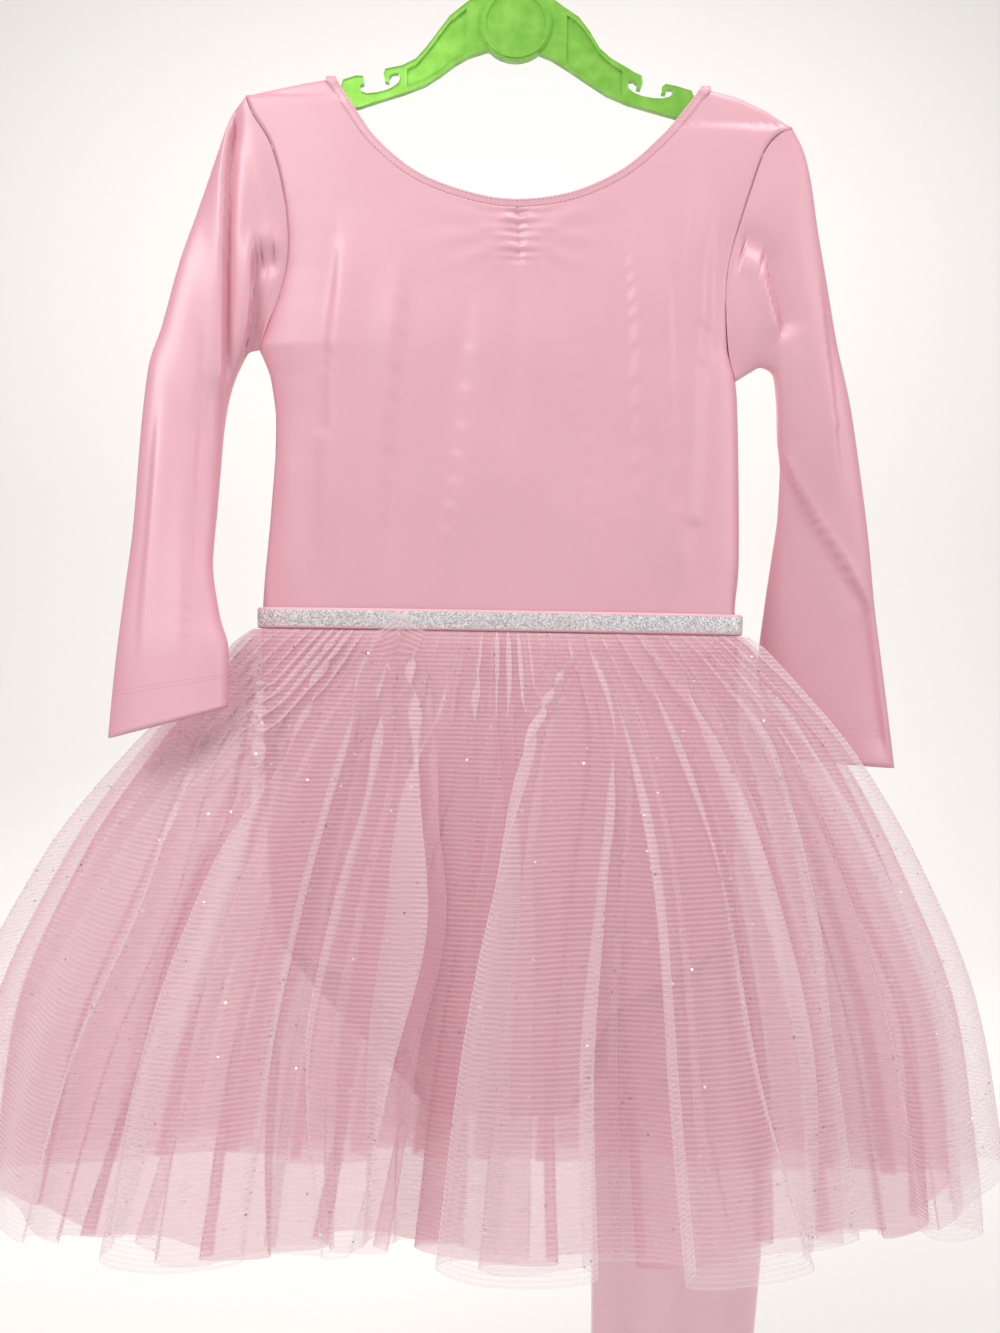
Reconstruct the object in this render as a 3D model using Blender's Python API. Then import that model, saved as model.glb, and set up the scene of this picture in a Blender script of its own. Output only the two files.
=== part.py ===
"""A child's ballet dress hung on a plastic hanger.

Metres, +Z up, +X to the dress's right as it is looked at, -Y towards the looker. The origin is where the rail
touches the inside of the hook's top. Tables are in millimetres and the solids in metres.
"""

import math

import bmesh
import bpy
import numpy as np
from mathutils import Vector
from mathutils.geometry import delaunay_2d_cdt

MM = 0.001

# Cloth walls and the gap that pieces keep at a seam
SATIN_WALL = 1.2
TULLE_WALL = 0.9
BAND_WALL = 1.3
SEAM_GAP = 0.3
SEAM_EDGE = 0.45  # how far a panel's edge lies from the middle plane, where the other panel meets it

# Levels
WAIST_Z = -409.0
BAND_TOP_Z = -397.6
BAND_BOTTOM_Z = -408.4
BRIEF_TOP_Z = -409.4
CROTCH_Z = -674.0

# Rows of a bodice panel as shares of its side edge: down the armhole, then down the side seam
UNDERARM_SHARE = 0.48
ARMHOLE_ROWS = [0.0, 0.006, 0.02, 0.07, 0.14, 0.215, 0.295, 0.37, 0.43, 0.467, UNDERARM_SHARE]
FRONT_ROWS = ARMHOLE_ROWS + [0.56, 0.66, 0.76, 0.88, 1.0]
BACK_ROWS = ARMHOLE_ROWS + [0.60, 0.74, 0.88, 1.0]
SHOULDER_COLUMNS = 4
EDGE_REACH = 9  # the higher, the less an armhole's curve bends the rows in the middle
NECK_COLUMNS = 13

# Shoulder line, from the neck out to the tip, x and height
LEFT_SHOULDER = {
    "x": [-147.3, -132.0, -115.0, -98.0],
    "z": [-117.0, -113.4, -109.8, -106.8],
}
RIGHT_SHOULDER = {
    "x": [102.0, 121.9, 137.9, 152.9],
    "z": [-109.0, -113.7, -120.5, -130.2],
}

# Front neckline and the back one, which scoops a little lower
NECK = {
    "x": [-98.0, -87.6, -73.5, -51.2, -23.5, 1.8, 31.5, 58.8, 80.5, 93.9, 102.0],
    "front_z": [-106.8, -123.2, -142.2, -160.0, -170.5, -174.0, -169.6, -156.5, -136.9, -120.2, -109.0],
    "back_z": [-106.8, -126.0, -148.5, -169.5, -182.5, -186.5, -181.8, -166.0, -143.0, -123.4, -109.0],
}
BINDING_WIDTH = 5.4
BINDING_WALL = 1.9
OVER_SHOULDER = 4.1  # how far in front of and behind the hanger's arm the binding turns down

# Armhole from the shoulder tip to the underarm, then the side seam to the waist
LEFT_EDGE = {
    "x": [-147.3, -142.5, -133.5, -127.7, -123.2, -121.6, -122.6, -126.8, -131.8, -137.6,
          -131.3, -127.7, -127.6, -130.0, -132.3, -133.6],
    "z": [-117.0, -128.5, -142.1, -158.0, -178.8, -196.4, -212.3, -228.4, -240.5, -255.5,
          -270.2, -291.1, -314.7, -353.3, -381.4, WAIST_Z],
}
RIGHT_EDGE = {
    "x": [152.9, 144.5, 136.4, 128.0, 120.5, 117.4, 117.2, 119.3, 123.4,
          124.7, 126.2, 127.0, 125.2, 127.3],
    "z": [-130.2, -134.5, -144.8, -169.7, -196.0, -213.6, -231.2, -254.0, -268.8,
          -282.5, -323.2, -370.5, -394.8, WAIST_Z],
}
LEFT_UNDERARM_Z = -255.5
RIGHT_UNDERARM_Z = -268.8

# Half depth of the bodice by how far below the shoulder line, in its middle and at the armhole's edge
BODICE_DEPTH = {
    "drop": [0.0, 0.9, 4.0, 20.0, 60.0, 110.0, 150.0, 220.0, 300.0],
    "middle": [0.45, 3.7, 5.1, 6.8, 10.8, 15.0, 17.0, 16.0, 12.7],
    "edge": [0.45, 3.7, 5.1, 6.0, 7.0, 5.0, 0.45, 0.45, 0.45],
}

# Soft upright folds in the front panel: where, how far it leans, its ends, its half width and its height
FRONT_FOLDS = {
    "x": [-92.0, -60.0, -30.0, 24.0, 58.0, 86.0, 110.0],
    "lean": [-6.0, -4.0, -6.0, 6.0, 4.0, 6.0, 2.0],
    "top": [-190.0, -230.0, -235.0, -240.0, -215.0, -190.0, -150.0],
    "bottom": [-395.0, -400.0, -390.0, -400.0, -400.0, -400.0, -390.0],
    "width": [15.0, 12.0, 11.0, 12.0, 13.0, 11.0, 8.0],
    "height": [1.4, -1.0, 1.0, 1.2, -1.2, 1.3, 2.4],
}

# Sleeves as rings: outer and inner end of each, the height of its bow towards the body, half depth, and how far
# back its middle lies
LEFT_SLEEVE = {
    "outer_x": [-155.0, -163.0, -171.5, -180.5, -188.4, -194.6, -196.4, -197.0, -199.7, -201.9, -204.0],
    "outer_z": [-128.0, -152.0, -180.0, -210.0, -245.9, -271.0, -310.0, -352.0, -394.6, -427.7, -468.0],
    "inner_x": [-143.5, -148.5, -152.5, -154.6, -155.2, -155.4, -155.4, -156.0, -150.8, -144.4, -143.6],
    "inner_z": [-257.0, -266.0, -278.0, -292.0, -306.0, -322.0, -343.0, -372.0, -402.0, -423.0, -451.0],
    "bow": [0.75, 0.5, 0.32, 0.2, 0.1, 0.0, 0.0, 0.0, 0.0, 0.0, 0.0],
    "half_depth": [8.0, 9.0, 9.5, 10.0, 10.0, 10.0, 10.0, 10.0, 10.0, 10.5, 11.0],
    "back": [0.0, -1.0, -3.0, -6.5, -11.0, -15.0, -22.0, -29.5, -37.0, -42.5, -47.0],
}
RIGHT_SLEEVE = {
    "outer_x": [158.6, 163.0, 168.2, 174.1, 181.3, 190.1, 197.9, 205.1, 210.6, 217.2, 227.6],
    "outer_z": [-141.0, -156.0, -185.0, -212.4, -245.3, -278.1, -316.5, -354.9, -390.0, -424.0, -483.0],
    "inner_x": [131.0, 138.0, 145.5, 148.6, 150.0, 152.6, 152.8, 151.0, 148.5, 146.5, 160.0],
    "inner_z": [-264.0, -260.5, -264.0, -280.0, -298.0, -318.0, -340.0, -364.0, -392.0, -425.0, -478.0],
    "bow": [0.75, 0.5, 0.32, 0.2, 0.1, 0.0, 0.0, 0.0, 0.0, 0.0, 0.0],
    "half_depth": [8.0, 9.0, 9.5, 10.0, 10.0, 10.0, 10.0, 10.0, 10.0, 10.0, 10.5],
    "back": [0.0, 1.0, 3.0, 6.0, 10.0, 14.0, 19.5, 26.0, 32.5, 39.0, 47.0],
}

# Lower half of the leotard by height: its ends in front and behind, and half depth
BRIEF = {
    "z": [BRIEF_TOP_Z, -450.0, -500.0, -545.0, -578.0, -600.0, -620.0, -642.0, -660.0, CROTCH_Z],
    "front_left": [-133.6, -132.0, -130.0, -127.0, -121.0, -82.0, -57.0, -48.0, -41.5, -36.5],
    "front_right": [127.3, 128.0, 128.0, 126.0, 120.0, 84.0, 59.0, 50.0, 43.5, 38.5],
    "back_left": [-133.6, -132.0, -130.0, -127.0, -121.0, -107.0, -88.0, -66.0, -48.0, -36.5],
    "back_right": [127.3, 128.0, 128.0, 126.0, 120.0, 108.0, 90.0, 68.0, 50.0, 38.5],
    "depth": [12.7, 12.4, 12.0, 11.5, 10.5, 9.5, 8.0, 6.0, 3.6, 0.45],
    "seam": [1.0, 1.0, 1.0, 1.0, 1.0, 0.4, 0.4, 0.4, 0.4, 0.4],
}

# Skirt by how far below the waist: half width, sideways lean, half depth in front and behind, and how round it is
SKIRT = {
    "drop": [0.0, 7.0, 24.0, 62.0, 125.0, 205.0, 294.0],
    "half_width": [130.5, 137.0, 152.0, 185.0, 226.0, 262.0, 279.0],
    "lean": [-3.1, -3.0, -3.0, -5.0, -10.0, -12.5, -13.0],
    "front": [12.7, 17.0, 27.0, 48.0, 76.0, 101.0, 116.0],
    "behind": [12.7, 15.0, 19.0, 27.0, 38.0, 49.0, 58.0],
    "round": [3.0, 2.9, 2.7, 2.5, 2.4, 2.3, 2.2],
    "gather": [0.0, 1.6, 2.4, 1.5, 0.5, 0.0, 0.0],
    "lobe": [0.0, 0.0, 0.15, 0.4, 0.72, 0.92, 1.0],
}
GATHERS = 44

# Large folds of the skirt, by the share of the way round from the left side through the front: half width, how far
# it stands out, and how much lower its hem hangs
LOBES = {
    "place": [0.015, 0.085, 0.145, 0.21, 0.275, 0.335, 0.385, 0.44, 0.495,
              0.56, 0.615, 0.67, 0.725, 0.785, 0.84, 0.895, 0.95],
    "width": [0.022, 0.024, 0.022, 0.020, 0.026, 0.024, 0.020, 0.020, 0.022,
              0.020, 0.020, 0.019, 0.020, 0.021, 0.019, 0.020, 0.019],
    "out": [16.0, 22.0, 20.0, 15.0, 24.0, 22.0, 19.0, 16.0, 15.0,
            14.0, 16.0, 13.0, 15.0, 16.0, 13.0, 15.0, 13.0],
    "lower": [0.0, 6.0, 9.0, -4.0, 3.0, 6.0, -2.0, 4.0, -8.0,
              0.0, 5.0, -3.0, 4.0, 0.0, 5.0, -2.0, 3.0],
}

# Skirt layers: how far out of the leotard at the waist, just below it and at the hem, extra length, gather share
LAYERS = {
    "name": ["skirt_under", "skirt_middle", "skirt_outer"],
    "at_waist": [2.0, 3.5, 5.0],
    "below": [2.1, 4.8, 8.2],
    "at_hem": [-22.0, -9.0, 4.0],
    "longer": [6.0, 3.0, 0.0],
    "gather": [0.0, 0.7, 1.0],
    "lobe": [0.55, 0.8, 1.0],
    "columns": [66, 88, 132],
    "skipped_row": [2, 2, 0],
}

# Tail of the sash behind the skirt: height, its two sides and how far it lies off the skirt's even form
SASH = {
    "z": [-400.0, -420.0, -470.0, -540.0, -620.0, -700.0, -760.0, -845.0],
    "left": [62.0, 56.0, 50.0, 50.0, 54.0, 58.0, 59.0, 60.0],
    "right": [98.0, 106.0, 120.0, 136.0, 150.0, 160.0, 160.0, 155.0],
    "off_skirt": [4.0, 14.0, 17.5, 20.0, 23.0, 26.0, 27.0, 28.0],
}
SASH_WALL = 1.0

# Hanger, in the middle plane: the upper edge with its two strap notches and the lower edge
HANGER_LEFT_TOP = {
    "x": [-143.5, -132.0, -115.0, -98.0, -95.4, -94.2, -87.3, -83.2, -82.6, -84.9, -84.4, -81.1, -75.6, -70.1, -66.3,
          -63.6, -62.6, -64.5, -67.4, -68.9, -68.9, -71.1, -71.9, -71.2, -67.6, -62.1, -54.6, -49.1, -42.2, -36.2,
          -26.1, -16.0],
    "z": [-120.9, -117.5, -114.2, -112.8, -111.8, -107.2, -104.9, -105.0, -109.3, -110.0, -113.4, -114.5, -113.9,
          -112.4, -110.5, -108.2, -105.2, -102.9, -103.4, -105.5, -108.2, -107.8, -103.9, -100.9, -100.1, -98.9,
          -95.1, -89.0, -79.5, -71.2, -62.9, -57.0],
}
HANGER_LEFT_BOTTOM = {
    "x": [-143.5, -125.0, -104.0, -84.5, -73.2, -60.6, -49.3, -40.6, -33.1, -25.6, -15.5],
    "z": [-127.0, -127.6, -125.8, -122.0, -118.0, -113.9, -109.3, -103.6, -97.7, -93.2, -89.9],
}
HANGER_RIGHT_TOP = {
    "x": [16.0, 27.0, 34.7, 41.0, 46.3, 52.7, 60.4, 65.6, 69.6, 70.2, 69.0, 66.7, 66.9, 65.3, 63.1, 61.8, 62.8, 65.5,
          69.6, 75.7, 81.2, 85.0, 87.5, 86.3, 83.9, 82.8, 80.5, 80.7, 82.7, 88.2, 97.1, 99.0, 102.0, 121.9, 137.9,
          148.6],
    "z": [-58.0, -65.8, -70.8, -78.9, -87.6, -93.2, -97.5, -100.6, -102.4, -106.3, -109.8, -109.4, -106.8, -105.1,
          -105.3, -107.2, -109.7, -111.8, -113.4, -114.6, -114.7, -113.7, -111.4, -109.2, -109.3, -112.1, -111.6,
          -108.6, -106.7, -107.6, -110.2, -114.6, -115.4, -120.8, -128.4, -135.4],
}
HANGER_RIGHT_BOTTOM = {
    "x": [12.2, 19.8, 30.1, 40.3, 50.3, 62.0, 74.7, 88.5, 110.0, 130.0, 148.6],
    "z": [-90.7, -93.7, -99.9, -106.6, -112.8, -117.7, -121.2, -124.8, -129.5, -134.5, -138.5],
}
HANGER_HALF = 2.2
HANGER_RIM = 3.3
HANGER_POCKET = 1.5
DISC_Z = -75.0
DISC_RADIUS = 20.3
DISC_FACE_RADIUS = 16.3
DISC_HALF = 3.9

# Hook of the hanger
WIRE = 3.6
HOOK_INSIDE = 19.0


def clear_scene():
    for old in list(bpy.data.objects):
        bpy.data.objects.remove(old, do_unlink=True)


def material(name, colour, rough, alpha=1.0):
    made = bpy.data.materials.new(name)
    made.use_nodes = True
    shader = made.node_tree.nodes["Principled BSDF"]
    shader.inputs["Base Color"].default_value = (*colour, 1.0)
    shader.inputs["Roughness"].default_value = rough
    shader.inputs["Metallic"].default_value = 0.0
    shader.inputs["Alpha"].default_value = alpha
    return made


def look_up(table, key, at, column):
    """The column's value where the key column reaches the given value."""
    keys = np.array(table[key], float)
    values = np.array(table[column], float)
    order = np.argsort(keys)
    return float(np.interp(at, keys[order], values[order]))


def along(table, columns, shares):
    """Points at these shares of the length of the line that the columns give."""
    line = np.array([table[c] for c in columns], float).T
    steps = np.linalg.norm(np.diff(line, axis=0), axis=1)
    done = np.concatenate([[0.0], np.cumsum(steps)]) / steps.sum()
    return np.array([np.interp(shares, done, line[:, k]) for k in range(line.shape[1])]).T


def solid_from(name, verts, faces, look):
    mesh = bpy.data.meshes.new(name)
    made = bmesh.new()
    corners = [made.verts.new([c * MM for c in v]) for v in verts]
    for face in faces:
        made.faces.new([corners[i] for i in face])
    bmesh.ops.triangulate(made, faces=made.faces[:], ngon_method="EAR_CLIP")
    if made.calc_volume(signed=True) < 0:
        bmesh.ops.reverse_faces(made, faces=made.faces[:])
    made.to_mesh(mesh)
    made.free()
    mesh.shade_smooth()
    obj = bpy.data.objects.new(name, mesh)
    bpy.context.scene.collection.objects.link(obj)
    mesh.materials.append(look)
    return obj


def directions(grid, wrap):
    """The unit normal at each point of a grid of rows and columns."""
    down = np.gradient(grid, axis=0)
    if wrap:
        across = (np.roll(grid, -1, axis=1) - np.roll(grid, 1, axis=1)) / 2
    else:
        across = np.gradient(grid, axis=1)
    normal = np.cross(across, down)
    return normal / np.maximum(np.linalg.norm(normal, axis=2, keepdims=True), 1e-9)


def wall(name, grid, thick, look, wrap=False, half=0):
    """A closed wall of even thickness on a grid of points, open at both ends of a tube.

    A panel that is one half of a flat pair keeps to its own side of the middle plane.
    """
    grid = np.array(grid, float)
    rows, columns, _ = grid.shape
    normal = directions(grid, wrap)
    sides = [grid + normal * thick / 2, grid - normal * thick / 2]
    verts = np.concatenate([s.reshape(-1, 3) for s in sides])
    if half:
        verts[:, 1] = half * np.maximum(half * verts[:, 1], SEAM_GAP / 2)
    count = rows * columns

    def at(side, row, column):
        return side * count + row * columns + column % columns

    faces = []
    last = columns if wrap else columns - 1
    for row in range(rows - 1):
        for column in range(last):
            first = [at(0, row, column), at(0, row, column + 1), at(0, row + 1, column + 1), at(0, row + 1, column)]
            faces.append(first)
            faces.append([i + count for i in reversed(first)])
    for column in range(last):
        faces.append([at(0, 0, column + 1), at(0, 0, column), at(1, 0, column), at(1, 0, column + 1)])
        low = rows - 1
        faces.append([at(0, low, column), at(0, low, column + 1), at(1, low, column + 1), at(1, low, column)])
    if not wrap:
        for row in range(rows - 1):
            end = columns - 1
            faces.append([at(0, row, 0), at(0, row + 1, 0), at(1, row + 1, 0), at(1, row, 0)])
            faces.append([at(0, row + 1, end), at(0, row, end), at(1, row, end), at(1, row + 1, end)])
    return solid_from(name, verts, faces, look)


def shoulder_z(x):
    """Height of the shoulder line over this place across, level over the neck."""
    if x < 0:
        return look_up(LEFT_SHOULDER, "x", x, "z")
    return look_up(RIGHT_SHOULDER, "x", x, "z")


def edges_at(z):
    """Left and right end of the bodice at this height."""
    return look_up(LEFT_EDGE, "z", z, "x"), look_up(RIGHT_EDGE, "z", z, "x")


def dome(s, power=3.0):
    return math.sqrt(max(0.0, 1.0 - abs(s) ** power))


def bodice_depth(x, z):
    """How far the cloth lies from the middle plane at this place of the bodice."""
    left, right = edges_at(z)
    s = (x - (left + right) / 2) / ((right - left) / 2)
    drop = max(0.0, shoulder_z(x) - z)
    middle = look_up(BODICE_DEPTH, "drop", drop, "middle")
    side = look_up(LEFT_EDGE, "z", z, "x") if x < 0 else look_up(RIGHT_EDGE, "z", z, "x")
    edge = look_up(BODICE_DEPTH, "drop", max(0.0, shoulder_z(side) - z), "edge")
    underarm = LEFT_UNDERARM_Z if x < 0 else RIGHT_UNDERARM_Z
    if z <= underarm + 0.01:
        edge = SEAM_EDGE
    edge = min(edge, middle)
    return edge + (middle - edge) * dome(max(-1.0, min(1.0, s)))


def front_fold(x, z):
    """How far the front's soft folds stand out here."""
    total = 0.0
    for i, place in enumerate(FRONT_FOLDS["x"]):
        top, bottom = FRONT_FOLDS["top"][i], FRONT_FOLDS["bottom"][i]
        if not bottom < z < top:
            continue
        share = (top - z) / (top - bottom)
        centre = place + FRONT_FOLDS["lean"][i] * share
        fade = math.sin(math.pi * share) ** 0.7
        total += FRONT_FOLDS["height"][i] * fade * math.exp(-(((x - centre) / FRONT_FOLDS["width"][i]) ** 2))
    return total


def top_edge(side, shares):
    """The panel's upper edge: shoulder, neckline below its binding, shoulder."""
    left = along(LEFT_SHOULDER, ("x", "z"), shares["left"])
    right = along(RIGHT_SHOULDER, ("x", "z"), shares["right"])
    neck = along(NECK, ("x", side + "_z"), shares["neck"])
    steps = np.gradient(neck, axis=0)
    steps /= np.linalg.norm(steps, axis=1, keepdims=True)
    outward = np.stack([steps[:, 1], -steps[:, 0]], axis=1)
    outward[0] = (-1.0, 0.0)
    outward[-1] = (1.0, 0.0)
    neck = neck + outward * (BINDING_WIDTH + 3 * SEAM_GAP)
    left[:, 0] = np.interp(left[:, 0], [left[0, 0], left[-1, 0]], [left[0, 0], neck[0, 0]])
    right[:, 0] = np.interp(right[:, 0], [right[0, 0], right[-1, 0]], [neck[-1, 0], right[-1, 0]])
    for line in (left, right):
        line[:, 1] = [shoulder_z(x) for x in line[:, 0]]
    return np.concatenate([left[:-1], neck[0:1] * [1, 0] + [0, shoulder_z(neck[0, 0])], neck[1:-1],
                           neck[-1:] * [1, 0] + [0, shoulder_z(neck[-1, 0])], right[1:]])


def neck_shares():
    """Shares of the neckline at which the panels and the binding have their points, closer near its ends."""
    even = np.linspace(0, 1, NECK_COLUMNS)
    return 0.4 * (1 - np.cos(even * math.pi)) / 2 + 0.6 * even


def panel(name, side, rows, look):
    """Front or back of the bodice as a wall between its four edges."""
    sign = -1.0 if side == "front" else 1.0
    outer = np.array([0.0, 0.16, 0.5, 1.0])[:SHOULDER_COLUMNS]
    top = top_edge(side, {"left": outer, "neck": neck_shares(), "right": (1 - outer)[::-1]})
    across = np.concatenate([[0.0], np.cumsum(np.linalg.norm(np.diff(top, axis=0), axis=1))])
    across /= across[-1]
    bottom = np.stack([
        LEFT_EDGE["x"][-1] + (RIGHT_EDGE["x"][-1] - LEFT_EDGE["x"][-1]) * across,
        np.full(len(across), WAIST_Z),
    ], axis=1)
    down = np.array(rows)
    left_line = edge_line(LEFT_EDGE, down, LEFT_UNDERARM_Z)
    right_line = edge_line(RIGHT_EDGE, down, RIGHT_UNDERARM_Z)
    grid = []
    for r, v in enumerate(down):
        row = []
        for c, u in enumerate(across):
            x, z = (
                (1 - v) * top[c] + v * bottom[c]
                + (1 - u) ** EDGE_REACH * (left_line[r] - (1 - v) * top[0] - v * bottom[0])
                + u ** EDGE_REACH * (right_line[r] - (1 - v) * top[-1] - v * bottom[-1])
            )
            depth = bodice_depth(x, z)
            if side == "front":
                depth += front_fold(x, z)
            row.append((x, sign * depth, z))
        grid.append(row)
    return wall(name, grid, SATIN_WALL, look, half=sign)


def edge_line(table, down, underarm_z):
    """The side edge at these shares, with the share of the underarm falling on the underarm itself."""
    index = table["z"].index(underarm_z)
    upper = {k: table[k][: index + 1] for k in ("x", "z")}
    lower = {k: table[k][index:] for k in ("x", "z")}
    points = []
    for v in down:
        if v <= UNDERARM_SHARE:
            points.append(along(upper, ("x", "z"), [v / UNDERARM_SHARE])[0])
        else:
            points.append(along(lower, ("x", "z"), [(v - UNDERARM_SHARE) / (1 - UNDERARM_SHARE)])[0])
    return np.array(points)


def sleeve(name, table, edge, underarm_z, look):
    """A sleeve as rings, from the armhole's loop to the open cuff."""
    halves = len(ARMHOLE_ROWS) - 1
    index = edge["z"].index(underarm_z)
    hole = {k: edge[k][: index + 1] for k in ("x", "z")}
    shares = np.array(ARMHOLE_ROWS) / UNDERARM_SHARE
    loop = along(hole, ("x", "z"), shares)
    away = -1.0 if table["outer_x"][0] < 0 else 1.0
    straight = loop[0] + shares[:, None] * (loop[-1] - loop[0])
    bow = loop - straight
    depth = np.array([min(look_up(BODICE_DEPTH, "drop", max(0.0, loop[0, 1] - z), "edge"), 7.0) for z in loop[:, 1]])
    depth[0] = SEAM_EDGE
    depth[-1] = SEAM_EDGE
    rings = []
    first = [(x + away * 1.1, -d * 0.9, z) for (x, z), d in zip(loop, depth)]
    first += [(x + away * 1.1, d * 0.9, z) for (x, z), d in zip(loop[-2:0:-1], depth[-2:0:-1])]
    first[0] = (loop[0, 0] + away * 1.4, 0.0, loop[0, 1] - 0.4)
    first[halves] = (loop[-1, 0] + away * 1.3, 0.0, loop[-1, 1] - 0.2)
    rings.append(first)
    round_off = np.maximum(0.0, 1 - np.abs(2 * shares - 1) ** 2.6) ** 0.5
    for i in range(len(table["outer_x"])):
        outer = np.array([table["outer_x"][i], table["outer_z"][i]])
        inner = np.array([table["inner_x"][i], table["inner_z"][i]])
        line = outer + shares[:, None] * (inner - outer) + bow * table["bow"][i]
        back = table["back"][i]
        half = table["half_depth"][i] * round_off
        ring = [(x, back - h, z) for (x, z), h in zip(line, half)]
        ring += [(x, back + h, z) for (x, z), h in zip(line[-2:0:-1], half[-2:0:-1])]
        rings.append(ring)
    return wall(name, rings, SATIN_WALL, look, wrap=True)


def section_ring(width, lean, front, behind, power, shares):
    """Points at these shares of the way round a flattened ring, from its left end through the front."""
    fine = np.linspace(0, math.pi, 161)
    s = -np.cos(fine)
    arch = np.sqrt(np.maximum(0.0, 1 - np.abs(s) ** power))
    x = np.concatenate([lean + width * s, (lean + width * s)[-2::-1]])
    y = np.concatenate([-front * arch, (behind * arch)[-2::-1]])
    steps = np.hypot(np.diff(x), np.diff(y))
    half = steps[: len(fine) - 1].sum()
    rest = steps[len(fine) - 1:].sum()
    done = np.concatenate([[0.0], np.cumsum(steps)])
    done = np.where(done <= half, done / half / 2, 0.5 + (done - half) / rest / 2)
    points = np.stack([np.interp(shares, done, x), np.interp(shares, done, y)], axis=1)
    ahead = np.stack([np.interp((shares + 0.004) % 1, done, x), np.interp((shares + 0.004) % 1, done, y)], axis=1)
    behind_it = np.stack([np.interp((shares - 0.004) % 1, done, x), np.interp((shares - 0.004) % 1, done, y)], axis=1)
    step = ahead - behind_it
    step /= np.linalg.norm(step, axis=1, keepdims=True)
    return points, np.stack([step[:, 1], -step[:, 0]], axis=1)


def waist_ring(z, out, shares):
    """A level ring round the leotard at its waist, moved out by so much."""
    left, right = LEFT_EDGE["x"][-1], RIGHT_EDGE["x"][-1]
    depth = BRIEF["depth"][0]
    points, outward = section_ring((right - left) / 2, (right + left) / 2, depth, depth, 3.0, shares)
    points = points + outward * out
    return [(x, y, z) for x, y in points]


def lobe_out(share):
    """How far the large folds stand out, and how much lower they hang, at this share of the way round."""
    out = lower = 0.0
    for i, place in enumerate(LOBES["place"]):
        gap = (share - place + 0.5) % 1 - 0.5
        bump = math.exp(-((gap / LOBES["width"][i]) ** 2))
        out += LOBES["out"][i] * bump
        lower += LOBES["lower"][i] * bump
    return out, lower


def skirt_layer(i, look):
    """One gathered layer of the skirt, from the waist to its hem."""
    columns = LAYERS["columns"][i]
    shares = np.arange(columns) / columns
    lobes = [lobe_out(s) for s in shares]
    rings = []
    for row, drop in enumerate(SKIRT["drop"]):
        if row and row == LAYERS["skipped_row"][i]:
            continue
        fall = drop / SKIRT["drop"][-1]
        if row == 0:
            base = LAYERS["at_waist"][i]
        else:
            base = LAYERS["below"][i] + (LAYERS["at_hem"][i] - LAYERS["below"][i]) * fall
        shrink = min(base, 0.0)
        points, outward = section_ring(
            SKIRT["half_width"][row] + shrink, SKIRT["lean"][row], SKIRT["front"][row] + shrink,
            SKIRT["behind"][row] + shrink, SKIRT["round"][row], shares,
        )
        ring = []
        for k, share in enumerate(shares):
            wave = SKIRT["gather"][row] * LAYERS["gather"][i] * math.cos(2 * math.pi * GATHERS * share)
            fold = SKIRT["lobe"][row] * LAYERS["lobe"][i] * (lobes[k][0] - 8.0)
            x, y = points[k] + outward[k] * (max(base, 0.0) + wave + fold)
            z = WAIST_Z - 0.2 - drop - (lobes[k][1] + LAYERS["longer"][i]) * fall ** 2
            ring.append((x, y, z))
        rings.append(ring)
    return wall(LAYERS["name"][i], rings, TULLE_WALL, look, wrap=True)


def brief_panel(name, side, look, columns=11):
    """Front or back of the lower leotard, which narrows between the leg openings."""
    sign = -1.0 if side == "front" else 1.0
    grid = []
    for i, z in enumerate(BRIEF["z"]):
        left, right = BRIEF[side + "_left"][i], BRIEF[side + "_right"][i]
        depth, seam = BRIEF["depth"][i], BRIEF["seam"][i]
        row = []
        for s in np.sin(np.linspace(-1, 1, columns) * math.pi / 2):
            edge = SEAM_EDGE if seam == 1.0 else max(SEAM_EDGE, depth * seam)
            y = edge + (depth - edge) * dome(s)
            row.append(((left + right) / 2 + (right - left) / 2 * s, sign * y, z))
        grid.append(row)
    return wall(name, grid, SATIN_WALL, look, half=sign)


def neck_binding(look):
    """The turned strip round the whole neck, over both shoulders."""
    front = along(NECK, ("x", "front_z"), neck_shares())
    back = along(NECK, ("x", "back_z"), neck_shares())
    left, right = front[0], front[-1]
    centre = [(left[0], sign * OVER_SHOULDER, left[1] - 0.6) if sign else (left[0], 0.0, left[1] + 0.6)
              for sign in (1.0, 0.0, -1.0)]
    centre += [(x, -max(bodice_depth(x, z), OVER_SHOULDER + 0.4), z) for x, z in front[1:-1]]
    centre += [(right[0], sign * OVER_SHOULDER, right[1] - 0.6) if sign else (right[0], 0.0, right[1] + 0.6)
               for sign in (-1.0, 0.0, 1.0)]
    centre += [(x, max(bodice_depth(x, z), OVER_SHOULDER + 0.4), z) for x, z in back[-2:0:-1]]
    centre = np.array(centre)
    step = np.roll(centre, -1, axis=0) - np.roll(centre, 1, axis=0)
    step /= np.linalg.norm(step, axis=1, keepdims=True)
    hole = np.array([2.0, 0.0, -60.0])
    away = centre - hole
    away[:, 1] = 0.0
    crossing = len(front) + 1
    away[:3] = (-1.0, 0.0, 0.0)
    away[crossing:crossing + 3] = (1.0, 0.0, 0.0)
    away -= (away * step).sum(axis=1, keepdims=True) * step
    away /= np.linalg.norm(away, axis=1, keepdims=True)
    grid = [centre, centre + away * BINDING_WIDTH]
    return wall("neck_binding", grid, BINDING_WALL, look, wrap=True)


def circle(centre, radius, steps):
    turns = 2 * math.pi * np.arange(steps) / steps
    return [(centre[0] + radius * math.cos(t), centre[1] + radius * math.sin(t)) for t in turns]


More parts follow.
